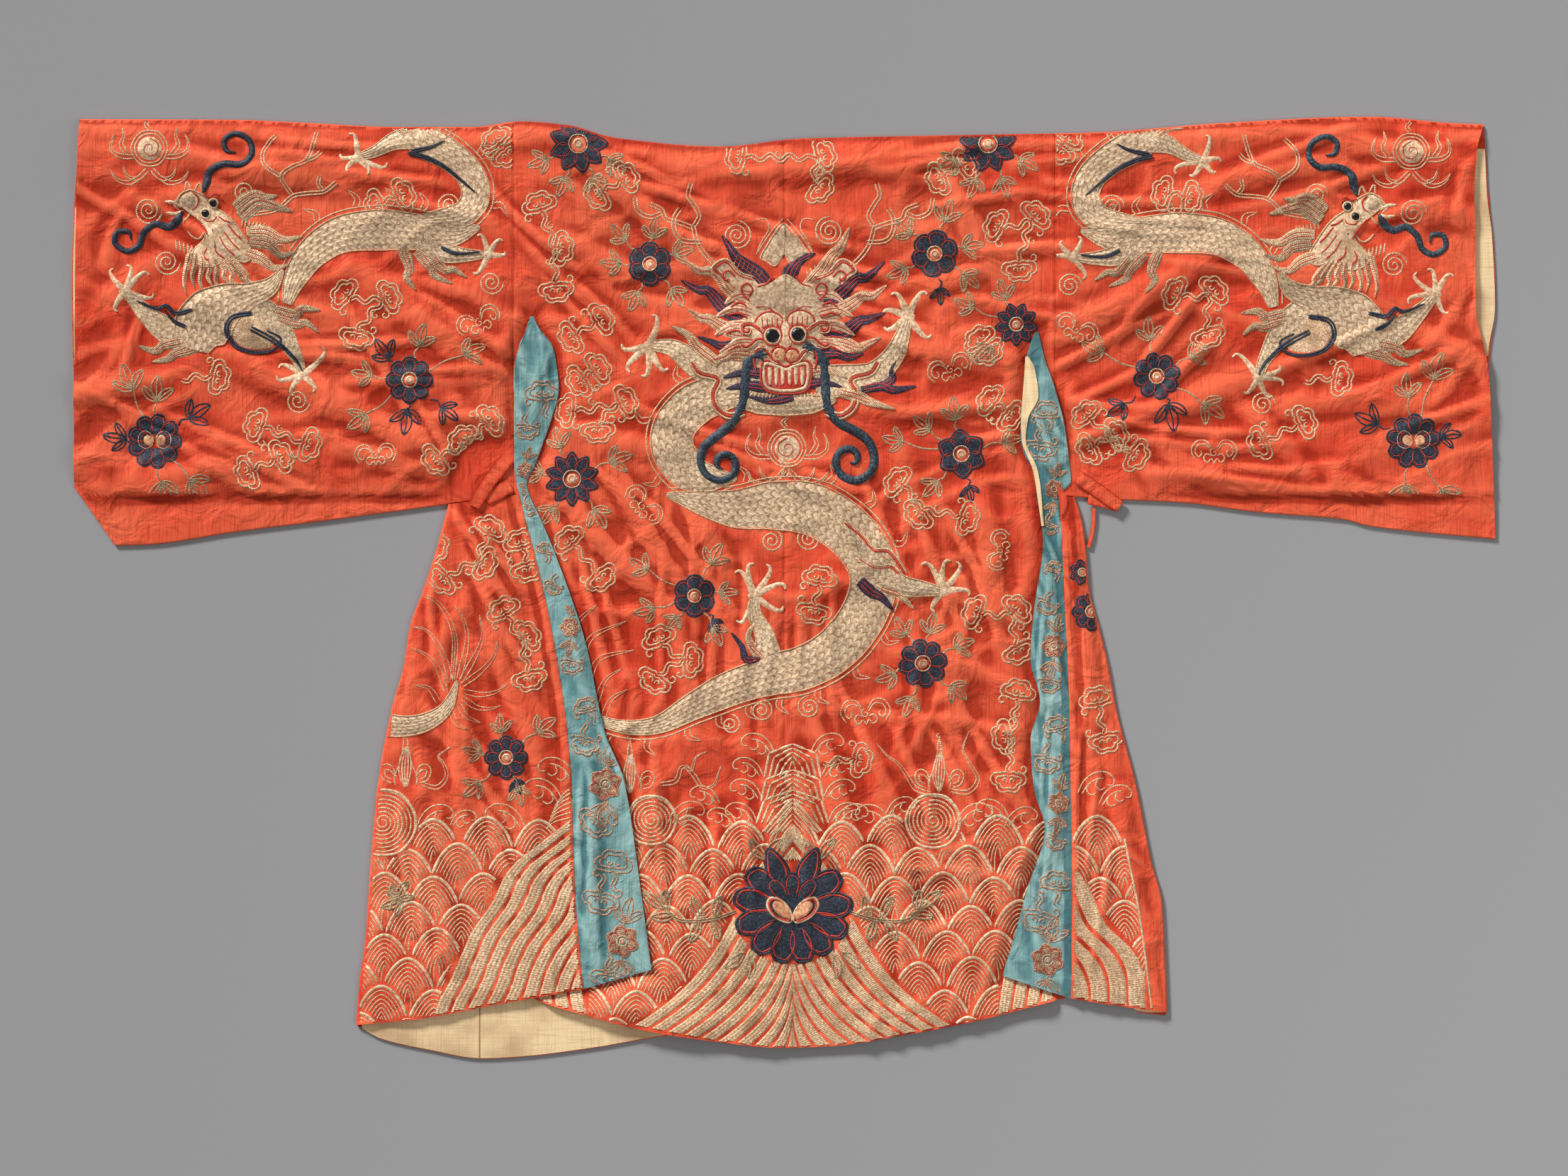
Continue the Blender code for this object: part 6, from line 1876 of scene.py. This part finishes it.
# %% Where the stripes and waves are
WAVE_HALF, WAVE_HIGH, WAVE_APART, WAVE_STEP, THREAD_PITCH = 35.5, 56.0, 65.0, 36.0, 4.5
SEA_TOP, WAVES_LEFT, WAVES_ACROSS, WAVE_ROWS = -300.0, -575, 18, 11
LEFT_FAN = table(
    "y x", (-262, -244), (-295, -273), (-327, -308), (-353, -345), (-375, -365), (-412, -378), (-449, -400),
    (-482, -422), (-515, -433), (-555, -442), (-595, -448),
)
RIGHT_FAN = table("y x", (-352, 368), (-384, 385), (-427, 414), (-459, 442), (-500, 456), (-545, 469))
SEA_EDGE = table("y x", (-240, 422), (-331, 436), (-411, 452), (-545, 470))
left_fan, right_fan, sea_edge = (curve(rows, "y", "x") for rows in (LEFT_FAN, RIGHT_FAN, SEA_EDGE))
FAN_X, FAN_TOP, FAN_FOOT, FAN_HALF, FAN_BANDS = 11.0, -300.0, -562.0, 212.0, 9.5
BALLS = (
    ("side_left", -511, -299, 42), ("back", -169, -296, 31), ("back", 190, -297, 34),
)
FLOWER = (11.0, -408.0)


def fan_line(k):
    """The edge k of the middle fan, from its start on the middle line out to the hem. Each starts lower."""
    u = np.linspace(0, 1.12, 64)
    start, half = FAN_TOP - 27.5 * k, FAN_HALF * (1 - k / FAN_BANDS)
    bell, flare = 1.3 * u - 1.75 * u ** 2 + 1.45 * u ** 3, 0.4 * u + 0.6 * u ** 3
    return np.column_stack([half * mix(bell, flare, min(1, k / 5)), start + (FAN_FOOT - 3.5 * k - start) * u])


fan_edge = fan_line(0)


def fan_reach(y):
    """Half the width of the middle fan at a height."""
    return np.interp(-y, -fan_edge[:, 1], fan_edge[:, 0])


print("the middle fan is", round(2 * float(fan_reach(FAN_FOOT))), "mm wide at the hem")


# %% Where waves may be
def open_sea(x, y):
    """Where waves may be: outside the stripes, the spiral balls and the rock."""
    sea = ~((abs(x - FAN_X) < fan_reach(y) + 2) & (y < FAN_TOP))
    sea &= ~((x > left_fan(y) - 2) & (x < -250) & (y < -262))
    sea &= ~((x < right_fan(y) + 2) & (x > 366) & (y < -350))
    sea &= ~((x < -263) & (y < -500) & (x > -330)) & ~((x > 276) & (x < 366) & (y < -486))
    for _, ball_x, ball_y, radius in BALLS:
        sea &= np.hypot(x - ball_x, y - ball_y) > radius + 3
    sea &= ~((abs(x - FAN_X) < 40) & (y > -300)) & off_flower(x, y)
    return sea & (x < sea_edge(y))


def off_flower(x, y):
    """Outside the great flower, which covers what it lies on."""
    x, y = (x - FLOWER[0]) / 1.06, y - FLOWER[1]
    tall = (abs(abs(x) - 0.4 * y) < 11) & (y > 0) & (y < 78)
    return (np.hypot(x, y) > np.where(y > 44, 58, 69)) & ~tall


print("waves at x 11 and 250, y -330:", open_sea(np.array([11.0, 250.0]), np.array([-330.0, -330.0])).tolist())


# %% The waves
def crown(t, point):
    """The outline of a wave at t, from -1 to 1 across it: a round arch, or with a lower number a pointed one."""
    return (1 - np.clip(abs(t), 0, 1) ** point) ** 0.62


def wave(ground, x, y, nearer):
    """Arches one in another over (x, y), without what the nearer waves cover. The real threads are 3 mm apart, which
    is too fine to show, so these are a little further apart."""
    for k in range(8):
        half, high, point = WAVE_HALF - THREAD_PITCH * k, WAVE_HIGH - 1.22 * THREAD_PITCH * k, 1.8 - 0.07 * k
        t = np.sin(np.linspace(-math.pi / 2, math.pi / 2, max(9, 2 * int(half / 2.3) + 7)))
        foot = np.linspace(-26, 0, 7, endpoint=False)
        line = np.vstack([np.column_stack([np.full(7, x - half), y + foot]),
                          np.column_stack([x + half * t, y + high * crown(t, point)]),
                          np.column_stack([np.full(7, x + half), y + foot[::-1]])])
        free = np.ones(len(line), bool)
        for other_x, other_y in nearer:
            t = (line[:, 0] - other_x) / (WAVE_HALF + 2.2)
            free &= (abs(t) > 1) | (line[:, 1] - other_y > WAVE_HIGH * crown(t, 1.8) + 2.8)
        runs = np.split(np.arange(len(line)), np.flatnonzero(np.diff(free.astype(int))) + 1)
        for run in runs:
            if free[run[0]] and len(run) > 3:
                thread, width, high = ("gold", 2.6, 0.65) if k else ("pale", 4.8, 0.9)
                cord(ground, thread, line[run], width, high, open_sea)


def wave_place(row, i):
    """Where the wave i of a row stands. Every other row is shifted by half a wave, and a hand is never quite even."""
    x = WAVES_LEFT + WAVE_APART * (i + 0.5 * (row % 2)) + 3 * math.sin(5 * i + row)
    return x, SEA_TOP - WAVE_HIGH + 6 - WAVE_STEP * row + 4 * math.sin(3 * i + 2 * row)


centres = [[wave_place(row, i) for i in range(WAVES_ACROSS)] for row in range(WAVE_ROWS)]
for row in range(WAVE_ROWS):
    for x, y in centres[row]:
        nearer = [spot for later in centres[row + 1:row + 3] for spot in later if abs(spot[0] - x) < 2.2 * WAVE_HALF]
        for ground, first, last in (("back", -420, 420), ("side_left", -999, -150), ("side_right", 330, 999)):
            if first < x < last:
                wave(ground, x, y, nearer)
for ground, x, y, radius in BALLS:
    spiral(ground, x, y, radius, radius / 5.2, start=-60, width=3.3)
    rim(ground, "pale", circle(x, y, radius + 0.8), 4.0, 0.9, 3)
sewn_so_far("waves")

# %% The stripes
BAND_SHARE, BAND_ROWS = 0.88, 3.0
for side in (-1, 1):
    for k in range(10):
        lines = [fan_line(min(k + part, FAN_BANDS)) * (side, 1) + (FAN_X, 0) for part in (0.04, BAND_SHARE)]
        filled("back", "gold", *lines, 6, 0.85, off_flower, BAND_ROWS)
ys = np.arange(LEFT_FAN[0].y, -600.0, -2.6)
for ground, fan, edge, pitch, count in (
    ("side_left", LEFT_FAN, left_fan, 18.5, 12), ("side_right", RIGHT_FAN, right_fan, -24.0, 5)
):
    for k in range(count):
        start = edge(ys + 0.2 * abs(pitch) * k)
        sway = 5.0 * np.sin((ys + 300) / 17 + 0.3 * k)
        lines = [np.column_stack([start + pitch * (k + part) + sway, ys]) for part in (-0.03, 0.92)]
        filled(ground, "gold", *lines, 8, 0.85, lambda x, y: y < fan[0].y, BAND_ROWS)
for first, pitch, count, lean in ((-342, 20, 4, 18), (282, 17.5, 5, -14)):
    for k in range(count):
        foot = np.column_stack([first + pitch * k + lean * np.linspace(0, 1, 34), np.linspace(-480, -566, 34)])
        filled("back", "gold", foot, foot + (0.9 * pitch, 0), 6, 0.85, lambda x, y: y < -486, BAND_ROWS)
cord("side_right", "pale", np.column_stack([sea_edge(ys), ys]), 3.4, 0.9, lambda x, y: y < -318)
sewn_so_far("stripes")

# %% The rock in the middle
for top, bottom, narrow, wide in ((-203, -246, 30, 36), (-236, -276, 34, 40), (-262, -304, 36, 46)):
    for k in range(5):
        x0, x1, drop = narrow - 6.4 * k, wide - 6.4 * k, 5.2 * k
        tier = [(-x1, bottom + 4), (-x0, top - 8 - drop), (-x0 * 0.6, top - 3 - drop), (0, top + 4 - drop),
                (x0 * 0.6, top - 3 - drop), (x0, top - 8 - drop), (x1, bottom + 4)]
        for first, last in zip(tier, tier[1:]):
            cord("back", "pale" if k == 0 else "gold", np.linspace(first, last, 9) + (FAN_X, 0), 3.9, 0.8,
                 lambda x, y: y > bottom - 8)
for k in range(9):
    for flip in (1, -1):
        gable = np.linspace((0.0, -268 - 6.6 * k), (40 - 0.4 * k, -314 - 6.0 * k), 12)
        width = 2.9 if k else 5.0
        cord("back", "gold", placed(gable, FAN_X, flip=flip), width, 0.9, lambda x, y: y > FAN_TOP - 14)
SPLASH = (
    [(-6, -12), (0, 0), (10, 8), (22, 9), (30, 3), (29, -4), (23, -4)], [(-2, -13), (5, -3), (13, 2), (20, 3)],
    [(5, -3), (3, -10), (8, -14), (13, -11)], [(14, 2), (12, -5), (17, -9), (22, -6)],
)
for flip in (1, -1):
    for x, y, size in ((30, -196, 1.15), (44, -226, 1.05), (46, -254, 1.1), (52, -284, 1.1)):
        drawn("back", "gold", *SPLASH, width=2.7, x=FAN_X + flip * x, y=y, flip=flip, size=size)
sewn_so_far("rock")

# %% The great flower on the stripes
FLOWER_LOW, FLOWER_MIDDLE, FLOWER_TOP = 1.5, 1.8, 2.0
HEART = [(2, -16), (4, -3), (14, 9), (27, 13), (32, 4), (25, -8), (12, -16)]
VINE = [(72, -4), (96, -12), (120, -16), (146, -14), (164, 0)]
VINE_LEAVES = (
    # place, direction and length
    (164, 0, 40, 34), (158, -2, 80, 26), (150, -8, -6, 30), (112, -16, 62, 36), (100, -12, 108, 30),
    (118, -16, -62, 30), (104, -14, -110, 28), (62, -56, -40, 32), (54, -60, -86, 30),
)
for turn in (140, 169, 199, 229, 257, 283, 309, 336, 4, 36):
    petal("back", *FLOWER, turn, 24, 72 + 3 * math.cos(2 * math.radians(turn)), 32, "navy", False, FLOWER_LOW)
for turn in (68, 112):
    petal("back", *FLOWER, turn, 34, 82, 27, "navy", True, FLOWER_MIDDLE)
blob("back", "navy", circle(*FLOWER, 36), 4, FLOWER_LOW, 4)
for turn, reach in ((52, 46), (128, 46), (90, 44)):
    petal("back", *FLOWER, turn, 14, reach, 20, "navy", False, FLOWER_TOP)
for flip in (-1, 1):
    blob("back", "rose", placed(HEART, *FLOWER, 0, 0.8, flip), 5, 3.2, 3, 2.0)
    for part, thread in ((0.86, "red"), (1.0, "pale")):
        middle = np.mean(HEART, 0)
        outline = middle + (np.array(HEART) - middle) * part * 1.04
        rim("back", thread, placed(outline, *FLOWER, 0, 1, flip), 3.0, 3.0, 2.6)
for flip in (-1, 1):
    line = through(placed(VINE, *FLOWER, 0, 1, flip), 3)
    bundle("back", line, 2.2, 1.6, (-1.4, "bronze"), (1.4, "bronze"))
    for x, y, turn, length in VINE_LEAVES:
        root = placed([(x, y)], *FLOWER, 0, 1, flip)[0]
        leaf("back", *root, turn if flip > 0 else 180 - turn, length, 14, "bronze", 1.5)
    for turn in (52, 128):
        leaf("back", FLOWER[0] + flip * 34, FLOWER[1] + 62, turn if flip > 0 else 180 - turn, 34, 15, "bronze", 1.5)
sewn_so_far("great flower")

# %% What floats on the sea
CRESTS = (
    ("side_left", -448, -288, 1, 1.1), ("side_left", -350, -288, -1, 1.2), ("side_left", -302, -256, -1, 1.2),
    ("side_left", -408, -292, 1, 0.8), ("side_left", -286, -228, -1, 1.1), ("back", -128, -284, 1, 1.1),
    ("back", -100, -262, -1, 0.9), ("back", -78, -290, -1, 0.9), ("back", 84, -286, 1, 1.0),
    ("back", 118, -288, -1, 1.1), ("back", 148, -276, 1, 0.9), ("back", 238, -286, 1, 1.1),
    ("back", 268, -280, -1, 1.0), ("back", 300, -290, 1, 1.0), ("side_right", 394, -246, 1, 1.1),
    ("side_right", 420, -262, 1, 1.0),
)
for ground, x, y, flip, size in CRESTS:
    drawn(ground, "gold", *SPLASH, x=x - 12 * flip, y=y, flip=flip, size=1.15 * size, width=2.7)

BOWS = (
    [(0, 46), (2, 36), (3, 26), (7, 10), (12, -2), (11, -12)],
    [(10, -4), (14, 8), (22, 11), (27, 4), (23, -6), (14, -9)], [(12, -1), (16, 4), (22, 5), (21, -2), (15, -5)],
)


def gourd(ground, x, y, size):
    """A gourd that floats on a ball, with the two bows of its ribbon."""
    plume(ground, "pale", placed([(0, -14), (-1, 4), (1, 30)], x, y, 0, size), 15 * size, 5, True, 2.6)
    for flip in (1, -1):
        drawn(ground, "gold", *BOWS, x=x, y=y, size=size, flip=flip, width=2.6)
    spiral(ground, x, y + 48 * size, 3.4 * size, 1.0, width=2.2)


gourd("back", 198, -244, 1.15)
gourd("side_left", -482, -238, 1.2)
gourd("back", -196, -246, 1.15)
RIBBONS = (
    ("back", (212, -258), (234, -260), (247, -244), (237, -224), (228, -206), (236, -182)),
    ("back", (188, -262), (168, -256), (156, -238), (146, -224), (132, -214), (118, -198)),
    ("back", (-158, -250), (-138, -246), (-130, -228), (-118, -232), (-112, -216), (-98, -208)),
    ("back", (-126, -226), (-114, -240), (-104, -254), (-90, -252), (-84, -238), (-80, -226)),
    ("side_left", (-462, -250), (-442, -254), (-430, -240), (-434, -224), (-440, -214), (-424, -202)),
)
for ground, *points in RIBBONS:
    plume(ground, "gold", points, 8.5, 2, laid=2.5)
for k in range(7):
    rope = [(-262 - k, -250 - 7 * k), (-280 - 2 * k, -262 - 6 * k), (-292 - 2 * k, -278 - 5 * k)]
    drawn("side_left", "gold", rope, width=2.5)
for x, y, turn in ((-500, -410, 60), (-474, -392, 200)):
    sprig("side_left", x, y, turn, 14, high=1.4)
sewn_so_far("crests, gourds and ribbons")

# %% The flaps' copper clouds and flowers
FLAPS = (("flap_left", left_flap_left, left_flap_right), ("flap_right", right_flap_left, right_flap_right))
for ground, left, right in FLAPS:
    for k, y in enumerate(np.arange(250.0 if ground == "flap_left" else 226.0, -505.0, -50.0)):
        room = float(right(y) - left(y))
        x = float(left(y)) + room * (0.5 + 0.13 * (-1) ** k)
        size = min(1.6, max(0.8, room / 40))
        if k % 4 == 2:
            sprigs = ((78, 5, 0.75 * size), (-96, 6, 0.75 * size))
            flower(ground, x, y, 13 * size, 6, 20 * k, sprigs, True, thread="copper", leaves="copper")
        else:
            clouds(ground, (x, y, 160 * (k % 2) + 14 * math.sin(k), 0.82 * size), thread="copper", tail=18)
sewn_so_far("flaps")

# %% [markdown]
# ## From strips to meshes
# Every collection becomes one mesh that rides on the robe: points that no face uses are dropped, and the height
# under each point is read from the map of its ground.

# %% Make the sewn pieces
total = 0
for (ground, thread), parts in sorted(sewn.items()):
    starts = np.cumsum([0] + [len(part[1]) for part in parts])
    flat, lift, u, v = (np.concatenate([part[i] for part in parts]) for i in range(4))
    quads = np.concatenate([part[4] + start for part, start in zip(parts, starts)])
    used, quads = np.unique(quads, return_inverse=True)
    quads = quads.reshape(-1, 4)
    x, y = flat[used].T
    points = np.column_stack([x, y, GROUNDS[ground][0](x, y) + lift[used]]) * MM
    mesh = bpy.data.meshes.new(f"sewing_{thread}_{ground}")
    mesh.from_pydata(points.tolist(), [], quads.tolist())
    layer = mesh.uv_layers.new(name="thread")
    layer.data.foreach_set("uv", np.column_stack([u[used], v[used]])[quads.ravel()].ravel())
    mesh.materials.append(THREADS[thread])
    mesh.shade_smooth()
    piece = bpy.data.objects.new(mesh.name, mesh)
    bpy.context.scene.collection.objects.link(piece)
    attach(piece, "root")
    total += 2 * len(quads)
    if len(quads) > 40000:
        print(mesh.name, 2 * len(quads), "triangles")
print(len(sewn), "sewn pieces with", total, "triangles")
